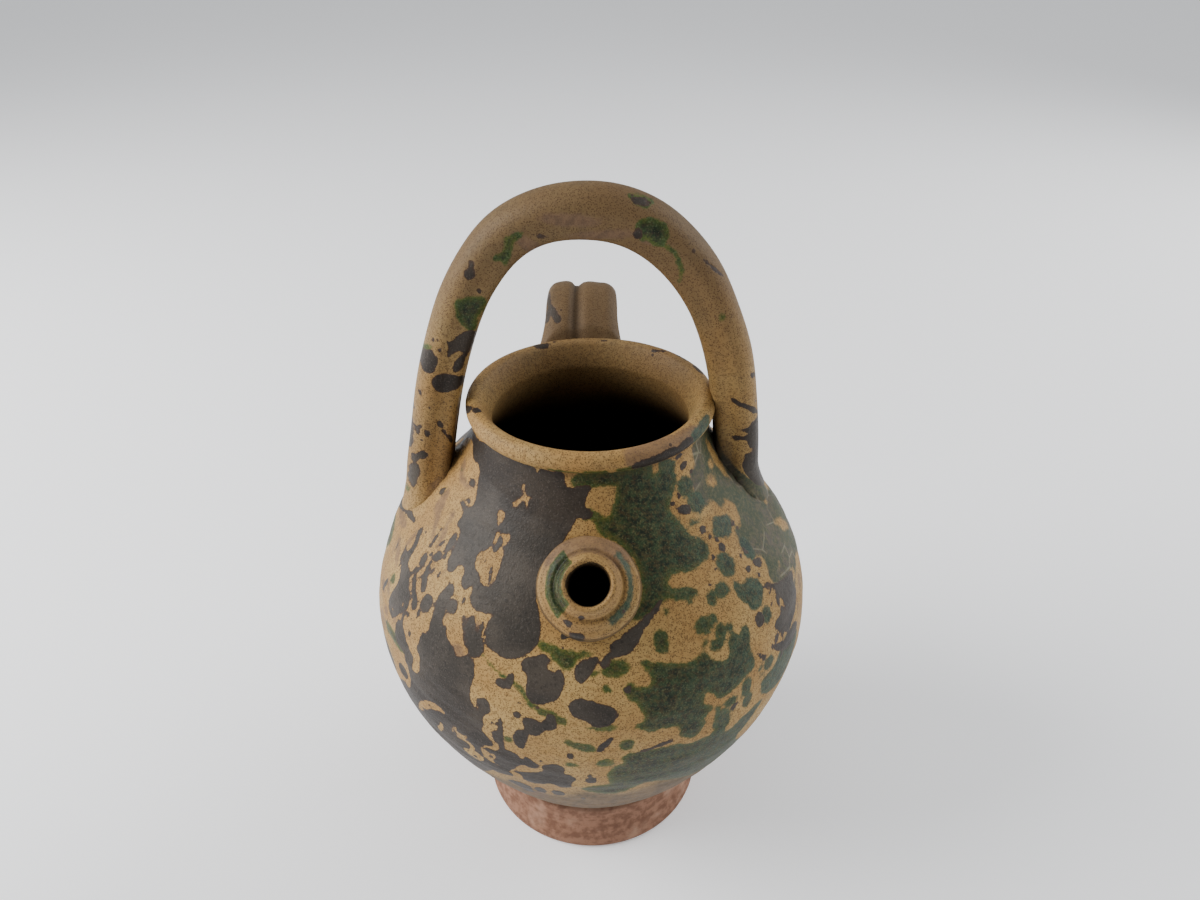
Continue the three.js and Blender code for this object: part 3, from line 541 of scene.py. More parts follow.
HOOP_GREEN = [
    [(-50, 267), (-48.8, 269), (-46.4, 269.4), (-44.1, 270), (-39, 269.9), (-38, 267.6), (-39.4, 264.6),
     (-42, 260.5), (-43.4, 256), (-46.1, 256.2), (-48.2, 259), (-49.8, 262.5), (-50.3, 265)],
    [(-29.9, 292.9), (-27.7, 293.2), (-25.4, 294.3), (-23, 293.9), (-24.2, 292.4), (-26.5, 290.6),
     (-27.5, 287.8), (-29, 284), (-30.1, 281.9), (-32.2, 283.6), (-34.6, 284), (-33.9, 285.9),
     (-31.6, 287.3), (-30.1, 289.6)],
    [(13.6, 307.5), (15.8, 308.2), (20.2, 307.2), (22.8, 305.5), (21.6, 303.5), (19, 303), (15.9, 304.4)],
    [(16, 294.8), (16.9, 298.1), (20, 299.6), (23.9, 299.1), (27.3, 297.2), (28.5, 293.4), (27.3, 290.5),
     (31, 288), (33, 284.8), (34.2, 278.5), (32.3, 275.2), (32.6, 279), (31.6, 283.4), (29.8, 286.6),
     (26.4, 288.7), (22.5, 289.6), (20.6, 291.4), (18, 291.5), (16.2, 293)],
    [(-64.4, 251), (-61.5, 250.8), (-60, 249), (-61.5, 247.8), (-64.6, 248)],
]
HOOP_GREEN_DROPS = [
    (49.6, 261.6, 1.3, 1.5, 0), (-77, 182, 1.2, 3.0, 0), (64, 268, 3.0, 2.2, 0),
]
HOOP_BROWN_DROPS = [
    (-72.9, 181.8, 1.4, 1.6, 0), (-7, 298.8, 11.0, 2.4, 4), (-21.5, 290, 6.5, 2.2, 35),
    (6, 293.5, 12.0, 1.6, -3), (22.5, 293, 4.5, 3.4, 0),
]
# Splashes on the lip, the strap and the spout: from point to point in mm, with a radius.
LIP_DARK = [
    ((-53, -3, 218), (-43.5, -17, 225.6), 1.5), ((-50.5, -8, 221.5), (-47, -14, 224.5), 1.7),
    ((-24, 39.5, 225), (-20, 40.5, 225.8), 1.6), ((-22, 40, 225.6), (-17, 43, 224.8), 0.9),
    ((27, 36, 225.4), (32, 34, 225.4), 1.0), ((-45.8, 8, 225.6), (-46.5, 5, 225.4), 0.6),
    ((47, -14, 220.5), (49, -9, 220.2), 0.6), ((18, -48, 220), (31, -39.5, 221.5), 2.6),
    ((33, -38, 220.5), (38, -34.5, 222), 2.8), ((-30, 37, 225.6), (-29, 37.4, 225.8), 0.5),
    ((5, 45, 225.8), (7, 45, 225.8), 0.5), ((38, 30, 225.4), (41, 27, 225.2), 1.3),
    ((-10, -46.5, 224), (-9.5, -46.7, 223.8), 0.4), ((44, 20, 225.5), (46, 14, 225), 1.2),
]
LIP_BROWN = [
    ((16, -46.5, 224), (30, -38, 225), 3.8), ((33, -36, 224), (40, -30, 225), 3.2),
]
LIP_GREEN = [
    ((40, -31, 222.5), (46, -20, 224), 2.6), ((11, -49, 219.6), (20, -46.5, 219.4), 1.6),
    ((-14, -48, 218.8), (-4, -50, 218.4), 1.2), ((-1, -50.4, 219), (6, -50, 219), 1.3),
]
STRAP_DARK = [
    ((-20.2, 71, 237.5), (-18.8, 60, 235), 1.4), ((-18.6, 60, 235), (-15, 52.5, 232.4), 1.8),
    ((-19.6, 59, 233.4), (-19.6, 55, 231), 1.7), ((14, 88, 238), (10, 96, 226), 3.5),
    ((-8, 106, 205), (-14, 104, 190), 4.0), ((6, 104, 212), (4, 107, 204), 1.8),
]
STRAP_GREEN = [((10, 104, 196), (4, 100, 178), 4.5)]
# Drops on the strap's outer side: (x, height), half width, half height and tilt.
STRAP_DROPS = [(-9, 198, 3.5, 6, 10), (6, 182, 4, 5, -10), (-2, 222, 2, 3, 0), (9, 206, 1.2, 1.6, 0)]
# Dark marks on the spout: bearing round its axis, radius, half width and half height.
SPOUT_DARK_MARKS = [
    (-120, 14.5, 2.1, 1.1), (-104, 17.9, 2.9, 1.5), (-103, 11.3, 1.2, 0.8), (-35, 15.0, 0.6, 0.5),
]

# Every piece carries fields that say how far inside each kind of splash a point lies, in mm, cut off at FAR.
FAR = -6.0
SPLASHES = ("dark", "green", "wash", "brown")


def closed_curve(outline, parts=4):
    """A closed curve through the outline's points."""
    p = np.array(outline, float)
    t = np.linspace(0, 1, parts, endpoint=False)[:, None, None]
    before, after, beyond = np.roll(p, 1, 0), np.roll(p, -1, 0), np.roll(p, -2, 0)
    curve = 0.5 * (2 * p + (after - before) * t + (2 * before - 5 * p + 4 * after - beyond) * t ** 2
                   + (3 * p - before - 3 * after + beyond) * t ** 3)
    return curve.transpose(1, 0, 2).reshape(-1, 2)


def outline_field(outline, u, v, across):
    """Distance in mm to an outline, positive inside it, cut off at FAR; across is mm per unit of u."""
    curve = closed_curve(outline)
    field = np.full(len(v), FAR)
    low, high = curve.min(0), curve.max(0)
    margin = -FAR / np.maximum(across, 0.5)
    near = (u > low[0] - margin) & (u < high[0] + margin) & (v > low[1] + FAR) & (v < high[1] - FAR)
    if not near.any():
        return field
    a, z, scale = u[near], v[near], across[near]
    best = np.full(len(a), 1e9)
    inside = np.zeros(len(a), bool)
    for (a0, z0), (a1, z1) in zip(curve, np.roll(curve, -1, 0)):
        du, dz = (a1 - a0) * scale, z1 - z0
        pu, pz = (a - a0) * scale, z - z0
        share = np.clip((pu * du + pz * dz) / np.maximum(du * du + dz * dz, 1e-9), 0, 1)
        best = np.minimum(best, np.hypot(pu - share * du, pz - share * dz))
        if z0 != z1:
            inside ^= ((z0 > z) != (z1 > z)) & (a < a0 + (a1 - a0) * (z - z0) / (z1 - z0))
    field[near] = np.maximum(np.where(inside, best, -best), FAR)
    return field


def drop_field(drop, u, v, across):
    u0, v0, wide, tall, tilt = drop
    side, up = (u - u0) * across, v - v0
    turn = math.radians(tilt)
    x = side * math.cos(turn) - up * math.sin(turn)
    y = side * math.sin(turn) + up * math.cos(turn)
    return np.maximum((1 - np.hypot(x / wide, y / tall)) * min(wide, tall), FAR)


def flat_spread(outlines, drops, u, v, across=None):
    """How far inside the nearest of some splashes each place is, in mm."""
    across = np.ones(len(u)) if across is None else across
    field = np.full(len(u), FAR)
    for outline in outlines:
        field = np.maximum(field, outline_field(outline, u, v, across))
    for drop in drops:
        field = np.maximum(field, drop_field(drop, u, v, across))
    return field


def body_spread(outlines, drops, azimuths, heights):
    """The same for splashes in degrees round the body and mm up it."""
    degree_length = np.radians(1.0) * body_radius(heights)
    return flat_spread(outlines, drops, azimuths, heights, degree_length)


def segment_field(parts, points):
    field = np.full(len(points), FAR)
    for start, end, radius in parts:
        a, b = np.array(start, float), np.array(end, float)
        span = b - a
        share = np.clip((points - a) @ span / max(span @ span, 1e-9), 0, 1)
        away = np.linalg.norm(points - a - share[:, None] * span, axis=1)
        field = np.maximum(field, radius - away)
    return field


def random_drops(seed, count, azimuths, heights, sizes):
    rng = np.random.default_rng(seed)
    drops = []
    for _ in range(count):
        size = rng.uniform(*sizes)
        drops.append((rng.uniform(*azimuths), rng.uniform(*heights), size * rng.uniform(0.6, 1.0),
                      size * rng.uniform(0.8, 1.5), rng.uniform(-35, 35)))
    return drops


def plain_fields(count):
    """Every field that the material reads, for a surface without splashes."""
    fields = {name: np.full(count, FAR) for name in SPLASHES + ("bare", "low")}
    for name in ("teal", "inside", "leg", "crease_shade"):
        fields[name] = np.zeros(count)
    return fields


def body_fields(points, azimuths, heights):
    """Splash fields on the turned body; azimuths run from -180 to 180."""
    around = np.where(azimuths < -130, azimuths + 360, azimuths)
    ragged = 3.4 * waves(points, 51, 17) + 1.8 * waves(points, 52, 7)
    beyond = smoothstep(84.0, 96.0, np.abs(azimuths))
    streaks = [(at, z, 0.35 * wide, 0.9 * tall, lean) for at, z, wide, tall, lean
               in random_drops(9, 60, (-88, -28), (78, 196), (1.6, 4.6))]
    dark_streaks, brown_streaks = streaks[:34], streaks[34:]
    back_dark = (random_drops(5, 34, (112, 236), (64, 205), (1.6, 5.5))
                 + random_drops(6, 46, (112, 250), (60, 205), (0.8, 2.0)))
    back_green = random_drops(7, 26, (112, 236), (64, 200), (1.6, 5.0))
    back_brown = random_drops(8, 12, (115, 235), (70, 200), (2.0, 5.0))

    fields = plain_fields(len(heights))
    islands = body_spread(TAN_OUTLINES, [], azimuths, heights)
    dark = np.minimum(body_spread(DARK_OUTLINES, [], azimuths, heights), -islands)
    fields["dark"] = np.maximum.reduce([
        dark,
        body_spread([], DARK_DROPS + dark_streaks, azimuths, heights),
        body_spread(BACK_DARK, [], around, heights) + ragged,
        body_spread([], back_dark, around, heights),
    ])
    fields["green"] = 0.5 * ragged * beyond + np.maximum.reduce([
        body_spread(GREEN_OUTLINES, GREEN_DROPS, azimuths, heights),
        body_spread(BACK_GREEN, [], around, heights) + ragged,
        body_spread([], back_green, around, heights),
    ])
    wash = body_spread(WASH_OUTLINES, [], azimuths, heights) + ragged * beyond
    fields["wash"] = np.minimum(wash, -body_spread([], WASH_HOLES, azimuths, heights))
    fields["brown"] = np.maximum(body_spread(BROWN_OUTLINES, BROWN_DROPS + brown_streaks, azimuths, heights),
                                 body_spread([], back_brown, around, heights))
    fields["teal"] = np.clip((around - 8) / 45, 0, 1) * np.clip((170 - around) / 50, 0, 1)
    return fields


def off_body(points):
    """How far points in mm stand out of the body's outer skin, roughly."""
    height = points[:, 2]
    sideways = np.hypot(points[:, 0], points[:, 1]) - body_radius(height)
    return np.where(height > LIP_TOP, 99.0, sideways / np.sqrt(1 + body_slope(height) ** 2))


def swelled_root(points, centres, reach, amount):
    """Widens a handle's section where it runs into the body, as the potter's smoothing does."""
    away = points - centres
    away /= np.maximum(np.linalg.norm(away, axis=1), 1e-6)[:, None]
    near = np.clip(1 - np.abs(off_body(points)) / reach, 0, 1) ** 2
    near *= 1 - smoothstep(176.0, 196.0, points[:, 2])
    return points + away * (amount * near)[:, None]


def shell_profile():
    """The turned shell as one closed line: foot, outside, lip, inside and floor."""
    foot_side = np.array([
        (FOOT_RADIUS - FOOT_EDGE, 0.0), (FOOT_RADIUS - 0.5 * FOOT_EDGE, 0.2 * FOOT_EDGE),
        (FOOT_RADIUS, FOOT_EDGE), (FOOT_RADIUS - 0.2, 4.0), (FOOT_RADIUS - 1.0, 9.0),
        (FOOT_WAIST_RADIUS + 0.5, 15.0), (FOOT_WAIST_RADIUS + 0.1, 21.0),
        (FOOT_WAIST_RADIUS, FOOT_HEIGHT - 1.0), (FOOT_WAIST_RADIUS - JUNCTION_DEPTH, FOOT_HEIGHT + 0.1),
    ])
    foot = np.vstack([[(0.0, 0.0), (20.0, 0.0), (40.0, 0.0)], resampled(foot_side, 1.5)])
    outside = resampled(np.vstack([lower_points(200), upper_points(200)[1:]]), 1.3)
    lip = resampled(lip_points(80), 0.9)
    inside = np.vstack([inset(lower_points(60), WALL), inset(upper_points(60), WALL)[1:]])[::-1]
    inside = inside[inside[:, 1] > FLOOR + 14]
    inside = np.vstack([resampled(inside[:22], 2.0), resampled(inside[21:], 6.0)[1:]])
    floor = [
        (FOOT_WAIST_RADIUS - 9.0, FLOOR + 6.0), (FOOT_WAIST_RADIUS - 12.0, FLOOR + 1.6),
        (FOOT_WAIST_RADIUS - 16.0, FLOOR), (15.0, FLOOR), (0.0, FLOOR),
    ]
    return np.vstack([foot, outside, lip, inside, floor]), len(foot), len(outside), len(lip)


def hoop_point(t):
    """Centre line of the hoop from the -X root over the crown to the +X root."""
    from_end = np.minimum(t, 1 - t)
    left = t < 0.5
    side = np.where(left, -1.0, 1.0)
    span, splay, fullness, spread_out = (np.where(left, a, b) for a, b in zip(HOOP_LEFT, HOOP_RIGHT))
    down = np.clip(1 - from_end / HOOP_ROOT_SHARE, 0, 1)
    angle = math.pi * np.clip((from_end - HOOP_ROOT_SHARE) / (1 - 2 * HOOP_ROOT_SHARE), 0, 0.5)
    out = np.abs(np.cos(angle)) ** (2 / fullness)
    up = np.abs(np.sin(angle)) ** (2 / fullness)
    x_arch = HOOP_SHIFT + side * (span * out + splay * (1 - up) ** 2)
    x_root = HOOP_SHIFT + side * (span + splay + spread_out * down)
    z_arch = HOOP_SPRING_HEIGHT + (HOOP_CROWN_HEIGHT - HOOP_SPRING_HEIGHT) * up
    z_root = HOOP_SPRING_HEIGHT - HOOP_ROOT_DROP * down
    in_root = from_end < HOOP_ROOT_SHARE
    x, z = np.where(in_root, x_root, x_arch), np.where(in_root, z_root, z_arch)
    return np.stack([x, np.zeros_like(t), z], 1)


def distance_to_hoop_roots(points, height, outward):
    places = np.vstack([hoop_point(np.linspace(0, 0.16, 40)), hoop_point(np.linspace(0.84, 1, 40))])
    near = outward & (np.abs(points[:, 0]) > 40) & (height > 120) & (height < 200)
    distance = np.full(len(points), 99.0)
    for place in places:
        distance[near] = np.minimum(distance[near], np.linalg.norm(points[near] - place, axis=1))
    return distance


def fillets(points, height, outward, to_hoop):
    """How far the skin swells up to the roots of the hoop and of the strap."""
    beyond_hoop = np.maximum(to_hoop - 10.0, 0)
    fillet = HOOP_FILLET * np.clip(1 - beyond_hoop / HOOP_FILLET_REACH, 0, 1) ** 2
    fillet *= smoothstep(184.0, 168.0, height)
    near = outward & (points[:, 1] > 50) & (height > 120) & (height < 200)
    to_strap = np.full(near.sum(), 99.0)
    for y, z in bezier(STRAP_LINE, 60)[44:]:
        to_strap = np.minimum(to_strap, np.hypot(points[near, 1] - y, height[near] - z))
    beside = np.maximum(np.abs(points[near, 0] - STRAP_SHIFT) - 12.0, 0.0)
    to_strap = np.hypot(np.maximum(to_strap - 6.0, 0.0), beside)
    strap_fillet = STRAP_FILLET * np.clip(1 - to_strap / STRAP_FILLET_REACH, 0, 1) ** 2
    fillet[near] = np.maximum(fillet[near], strap_fillet)
    return fillet


def shell_mesh():
    """Points, faces and fields of the shell, with its throwing marks and fillets."""
    profile, foot_rows, outside_rows, lip_rows = shell_profile()
    even = np.linspace(-math.pi, math.pi, AROUND, endpoint=False)
    azimuth = np.tile(even - FRONT_DENSITY * np.sin(even), len(profile))
    radius, height = np.repeat(profile, AROUND, axis=0).T
    row = np.repeat(np.arange(len(profile)), AROUND)
    outside = row < foot_rows + outside_rows
    inner = row >= foot_rows + outside_rows + lip_rows
    outward = (row >= 3) & ~inner
    points = np.stack([radius * np.sin(azimuth), -radius * np.cos(azimuth), height], 1)

    push = 0.35 * waves(points, 1, 75) + 0.12 * waves(points * [1, 1, 3], 2, 22)
    climb = height + THROWING_CLIMB * azimuth / math.pi
    for at, size, breadth in THROWING_RIDGES:
        push += size * bell(climb, at, breadth) * (0.7 + 0.5 * np.sin(azimuth * 2 + at))
    push += 0.05 * np.sin(climb * 2 * math.pi / THROWING_PITCH)
    push = np.where(outward & (radius > 1.0), push, 0.0) * smoothstep(0.0, 6.0, height)
    points += push[:, None] * np.stack([np.sin(azimuth), -np.cos(azimuth), np.full(len(height), 0.3)], 1)

    to_hoop = distance_to_hoop_roots(points, height, outward)
    fillet = fillets(points, height, outward, to_hoop)
    tilt = np.arctan(np.where(outward, -body_slope(height), 0.0))
    normal = np.stack([np.cos(tilt) * np.sin(azimuth), -np.cos(tilt) * np.cos(azimuth), np.sin(tilt)], 1)
    points += fillet[:, None] * normal

    faces = grid_faces(len(profile), AROUND)
    middle = points[faces].mean(1) - SPOUT_CENTRE
    along = middle @ SPOUT_AXIS
    off_axis = np.linalg.norm(middle - along[:, None] * SPOUT_AXIS, axis=1)
    faces = faces[~((off_axis < BORE_CLEARED_RADIUS) & (np.abs(along) < 30))]
    return points, faces, shell_fields(points, azimuth, height, outside, inner, to_hoop)


def shell_fields(points, azimuth, height, outside, inner, to_hoop):
    fields = body_fields(points, np.degrees(azimuth), height)
    on_lip = {"dark": LIP_DARK, "green": LIP_GREEN, "brown": LIP_BROWN}
    fields["dark"] = np.maximum(fields["dark"], segment_field(STRAP_DARK, points))
    for name in SPLASHES:
        lip = segment_field(on_lip.get(name, []), points)
        on_body = np.where(height > FOOT_HEIGHT, np.maximum(fields[name], lip), FAR)
        fields[name] = np.where(outside, on_body, lip)
    # Painted shade: the inside turns black with depth below the mouth.
    fields["inside"] = np.where(inner, np.clip((LIP_TOP - 8 - height) / 75, 0, 1) + 0.02, 0.0)
    fields["bare"] = np.where(outside, FOOT_HEIGHT + 1.2 - height, FAR)
    # Low on the body: brownish thin clay, darkened with painted shade towards the foot.
    fields["low"] = np.where(outside, 88 - height + 5 * waves(points, 41, 40), FAR)
    in_shade = 0.3 + 0.35 * smoothstep(-10.0, 30.0, points[:, 1])
    # Painted shade on the rim and inside the neck, deeper towards the back.
    on_rim = smoothstep(-30.0, 20.0, points[:, 1])
    fields["leg"] = np.where(outside, 0.0, in_shade * np.where(inner, 1.0, on_rim))
    # Painted shade in the creases round the hoop's roots, under the lip and in the groove above the foot.
    between = smoothstep(62.0, 52.0, np.abs(points[:, 0])) * smoothstep(168.0, 180.0, height)
    crease_shade = np.maximum.reduce([
        np.clip(1 - (to_hoop - 10.5) / 6.0, 0, 1) * np.maximum(between, 0.25),
        0.45 * bell(height, NECK_HEIGHT, 2.5),
        0.6 * bell(height, FOOT_HEIGHT, 2.0),
    ])
    fields["crease_shade"] = np.where(outside, crease_shade, 0.0)
    return fields


def hoop_mesh(rings=300, around=96):
    centre, share = evenly_along(hoop_point(np.linspace(0, 1, 4000)), rings)
    kernel = np.hanning(HOOP_SMOOTHING)
    kernel /= kernel.sum()
    for i in (0, 2):
        padded = np.pad(centre[:, i], HOOP_SMOOTHING // 2, mode="reflect", reflect_type="odd")
        centre[:, i] = np.convolve(padded, kernel, mode="valid")
    direction = directions(centre)
    across = np.stack([-direction[:, 2], np.zeros(rings), direction[:, 0]], 1)
    swell = 1 + 0.1 * (1 - smoothstep(0.03, 0.15, np.minimum(share, 1 - share)))
    angle = np.linspace(0, 2 * math.pi, around, endpoint=False)
    cosine, sine = np.cos(angle), np.sin(angle)
    relief = sum(size * bell(np.degrees(angle), at, breadth) for at, size, breadth in HOOP_RELIEF)
    out = HOOP_THICKNESS / 2 * rounded_off(cosine, HOOP_ROUNDNESS) + relief * cosine
    side = HOOP_WIDTH / 2 * rounded_off(sine, HOOP_ROUNDNESS) + relief * sine
    points = centre[:, None] + across[:, None] * (out * swell[:, None])[..., None]
    points[..., 1] += side * swell[:, None]
    points = hand_made(points.reshape(-1, 3), 0.28, 46, 11)
    points = swelled_root(points, np.repeat(centre, around, axis=0), 14.0, 2.4)
    faces = grid_faces(rings, around)
    return points, faces[(off_body(points)[faces] > -4.5).any(1)], hoop_fields(points)


def hoop_fields(points):
    """Front splashes as the photograph's camera sees them, random ones behind, the body's at the roots."""
    x, y, z = points.T
    stand = off_body(points)
    towards = -(HOOP_FRONT + CAMERA_PLACE[1]) / (y - CAMERA_PLACE[1])
    front_x = CAMERA_PLACE[0] + (x - CAMERA_PLACE[0]) * towards
    front_z = CAMERA_PLACE[2] + (z - CAMERA_PLACE[2]) * towards
    body = body_fields(points, np.degrees(np.arctan2(x, -y)), z)
    on_hoop = smoothstep(1.5, 7.0, stand)
    fields = plain_fields(len(points))
    for name, outlines, drops, behind_count in (
            ("dark", HOOP_DARK, HOOP_DARK_DROPS, 26), ("green", HOOP_GREEN, HOOP_GREEN_DROPS, 26),
            ("wash", [], [], 0), ("brown", [], HOOP_BROWN_DROPS, 26)):
        rng = np.random.default_rng(60 + len(name))
        behind = [(rng.uniform(-72, 70), rng.uniform(185, 306), rng.uniform(1.0, 4.5), rng.uniform(1.2, 5.0),
                   rng.uniform(-40, 40)) for _ in range(behind_count)]
        front = flat_spread(outlines, drops, front_x, front_z)
        rear = np.where(y > 5.5, flat_spread([], behind, x, z), FAR)
        own = np.where(y < 4.0, front, rear)
        fields[name] = np.maximum(FAR + (own - FAR) * on_hoop, body[name] + (FAR - body[name]) * on_hoop)
    # Painted shade on the hoop: darker away from the body and towards the crown.
    fields["leg"] = 0.3 * smoothstep(0.0, 14.0, stand) + 0.6 * smoothstep(225.0, 292.0, z)
    # Painted shade in the crease where the hoop's legs meet the body, on their inner side.
    fields["crease_shade"] = 0.9 * smoothstep(11.0, 2.0, stand) * smoothstep(66.0, 56.0, np.abs(x))
    return fields


def strap_mesh(rings=150, around=84):
    centre, share = evenly_along(resampled(bezier(STRAP_LINE, 600), 1.0), rings)
    direction = directions(centre)
    flare = 1 + (STRAP_FLARE - 1) * np.abs(2 * share - 1) ** 4 + 0.14 * (1 - smoothstep(0.02, 0.2, share))
    angle = np.linspace(0, 2 * math.pi, around, endpoint=False)
    across = rounded_off(np.cos(angle), 0.75)
    lift = rounded_off(np.sin(angle), 0.62)
    relief = sum(size * bell(across, place, breadth, power) for place, size, breadth, power in STRAP_PROFILE)
    relief = STRAP_RELIEF * (relief - 0.55) * smoothstep(0.1, 0.6, lift)
    across = across * np.where(across > 0, STRAP_RIGHT_SHARE, 1.0)
    sideways = STRAP_SHIFT + STRAP_WIDTH / 2 * across[None] * flare[:, None]
    upwards = STRAP_THICKNESS / 2 * lift[None] * flare[:, None] + relief[None]
    points = np.stack([
        sideways,
        centre[:, :1] - direction[:, 1:] * upwards,
        centre[:, 1:] + direction[:, :1] * upwards,
    ], -1).reshape(-1, 3)
    points = hand_made(points, 0.3, 40, 21)
    spine = np.repeat(np.column_stack([np.full(rings, STRAP_SHIFT), centre]), around, axis=0)
    low = points[:, 2] < 190
    points = np.where(low[:, None], swelled_root(points, spine, 12.0, 2.6), points)
    from_axis = np.hypot(points[:, 0], points[:, 1])
    under_lip = (1 - smoothstep(45.5, LIP_RADIUS, from_axis)) * smoothstep(200.0, 212.0, points[:, 2])
    points[:, 2] -= STRAP_DIVE * under_lip
    in_neck = (from_axis < NECK_RADIUS - 1.5) & (points[:, 2] < LIP_TOP + 2)
    in_body = (off_body(points) < -3.5) & (points[:, 2] < 200)
    faces = grid_faces(rings, around)
    faces = faces[~in_neck[faces].all(1)]
    return points, faces[~in_body[faces].all(1)], strap_fields(points)


def strap_fields(points):
    x, y, z = points.T
    fields = plain_fields(len(points))
    drops = np.where(y > 95, flat_spread([], STRAP_DROPS, x, z), FAR)
    fields["dark"] = np.maximum(segment_field(STRAP_DARK, points), drops)
    fields["green"] = segment_field(STRAP_GREEN, points)
    # Painted shade on the strap: darker away from its root and towards the lip.
    off_root = 0.3 + 0.7 * smoothstep(1.0, 12.0, off_body(points))
    fields["leg"] = np.maximum(off_root, smoothstep(200.0, 214.0, z))
    # Painted shade along the strap's groove.
    fields["crease_shade"] = 0.8 * bell((x - STRAP_SHIFT) / (STRAP_WIDTH / 2), STRAP_GROOVE, 0.06)
    return fields


def spout_mesh(around=144):
    outline = resampled(np.array(SPOUT_OUTLINE), 0.62)
    turn = np.linspace(0, 2 * math.pi, around, endpoint=False)[:, None]
    ring = np.cos(turn) * [1.0, 0.0, 0.0] + np.sin(turn) * SPOUT_UP
    points = SPOUT_CENTRE + outline[:, None, :1] * ring[None] + outline[:, None, 1:] * SPOUT_AXIS
    points = hand_made(points.reshape(-1, 3), 0.22, 17, 31)
    return points, grid_faces(len(outline), around), spout_fields(points)


def spout_fields(points):
    offset = points - SPOUT_CENTRE
    along, up, side = offset @ SPOUT_AXIS, offset @ SPOUT_UP, offset[:, 0]
    out = np.hypot(up, side)
    bearing = np.degrees(np.arctan2(up, side))

    def degrees_from(at):
        return np.abs((bearing - at + 180) % 360 - 180)

    def ring_patch(ring_radius, half_breadth, at, half_turn, slope):
        """How far inside a part of a ring each point is; slope is mm per degree past its ends."""
        return np.minimum(half_breadth - np.abs(out - ring_radius), (half_turn - degrees_from(at)) * slope)

    fields = plain_fields(len(points))
    for at, ring_radius, wide, tall in SPOUT_DARK_MARKS:
        apart = np.radians(degrees_from(at)) * out
        mark = (1 - np.hypot(apart / wide, (out - ring_radius) / tall)) * tall
        fields["dark"] = np.maximum(fields["dark"], mark)
    fields["green"] = np.maximum.reduce([
        fields["green"],
        2.2 * ring_patch(SPOUT_GROOVE_RADIUS, 3.2, 176, 50, 0.22),
        ring_patch(14.5, 1.5, -40, 20, 0.24),
        ring_patch(14.8, 1.6, 5, 48, 0.24) - 0.5,
    ])
    # Brown on the collar's top and in its groove: partly brown glaze, partly painted shade on the upper
    # side.
    fields["brown"] = np.maximum(ring_patch(15.4, 3.2, 92, 62, 0.1), ring_patch(12.2, 0.75, 92, 62, 0.1))
    fields["teal"] = np.where(side > 0, 0.9, 0.0)
    # Painted shade down the spout's bore.
    in_bore = (out < 8.6) & (along < 10.2)
    fields["inside"] = np.where(in_bore, 0.5 + np.clip(-along / 12, 0, 0.5), 0.0)
    # Painted shade over the whole spout.
    fields["leg"] = np.full(len(points), 0.25)
    # Painted shade in the spout's groove and under the collar's edge.
    at_root = 0.7 * smoothstep(-0.6, -2.6, along) * (out > 15)
    fields["crease_shade"] = 0.25 * bell(out, SPOUT_GROOVE_RADIUS, 0.6) + at_root
    return fields


PIECES = [
    make_mesh("jug_shell", *shell_mesh()),
    make_mesh("jug_hoop", *hoop_mesh()),
    make_mesh("jug_strap", *strap_mesh()),
    make_mesh("jug_spout", *spout_mesh()),
]

# One material for the whole jug. Colours are 0-255 screen values.
OCHRE = (153, 120, 69)
OCHRE_PALE = (172, 142, 88)
OCHRE_DEEP = (146, 108, 60)
OCHRE_GRAIN = (112, 82, 46)
SHADED_CLAY = (84, 66, 46)
CLAY_SPECK = (70, 50, 30)
# Brownish clay low on the body, darkened with painted shade.
LOW_CLAY_SHADED = (96, 76, 52)
LOW_CLAY_SHADED_DEEP = (64, 53, 38)
FOOT_PINK = (144, 106, 84)
FOOT_BROWN = (112, 78, 60)
FOOT_PALE = (174, 138, 114)
FOOT_GRAIN = (100, 72, 60)
BROWN_SLIP = (112, 86, 66)
BROWN_SLIP_DEEP = (88, 68, 56)
WASH_GREEN = (50, 62, 44)
WASH_GREY = (72, 68, 60)
WASH_MOTTLE = (46, 60, 44)
WASH_GRAIN = (88, 92, 70)
WASH_CRACK = (138, 134, 110)
GREEN_THIN = (72, 82, 26)
GREEN_THIN_DEEP = (48, 66, 24)
GREEN_THICK = (6, 20, 8)
GREEN_THICK_PALE = (36, 52, 24)
TEAL = (20, 44, 36)
TEAL_PALE = (50, 70, 56)
GREEN_PIT = (12, 22, 14)
GREEN_FLECK = (96, 104, 74)
DARK_LOW = (38, 31, 25)
DARK_LOW_PALE = (54, 46, 38)
# Dark slip lightened and greyed as a painted sheen of reflected sky, for the shoulder.
DARK_SHEEN = (50, 45, 39)
DARK_SHEEN_PALE = (68, 61, 53)
DARK_GRAIN = (26, 23, 20)
DARK_FLECK = (92, 82, 74)
DARK_RIM = (66, 42, 26)
# Painted shade: black for deep inside the jug.
INTERIOR_SHADE_BLACK = (14, 12, 11)
# Painted shade for creases and grooves.
CREASE_SHADE = (30, 22, 15)

clay = bpy.data.materials.new("splashed_clay")
clay.use_nodes = True
tree = clay.node_tree
tree.nodes.clear()


def put(socket, value):
    if isinstance(value, bpy.types.NodeSocket):
        tree.links.new(value, socket)
    else:
        socket.default_value = value


def add(kind, inputs=None, **settings):
    """A node with its settings; inputs are values or sockets by input name or number."""
    node = tree.nodes.new(kind)
    for key, value in settings.items():
        setattr(node, key, value)
    for key, value in (inputs or {}).items():
        put(node.inputs[key], value)
    return node


def calc(operation, first, *others):
    """The operation over the first value and each other one in turn."""
    for other in others:
        first = add("ShaderNodeMath", {0: first, 1: other}, operation=operation).outputs[0]
    return first


def plus(*values):
    return calc("ADD", *values)


def times(*values):
    return calc("MULTIPLY", *values)


def centred(value, size):
    return times(calc("SUBTRACT", value, 0.5), size)


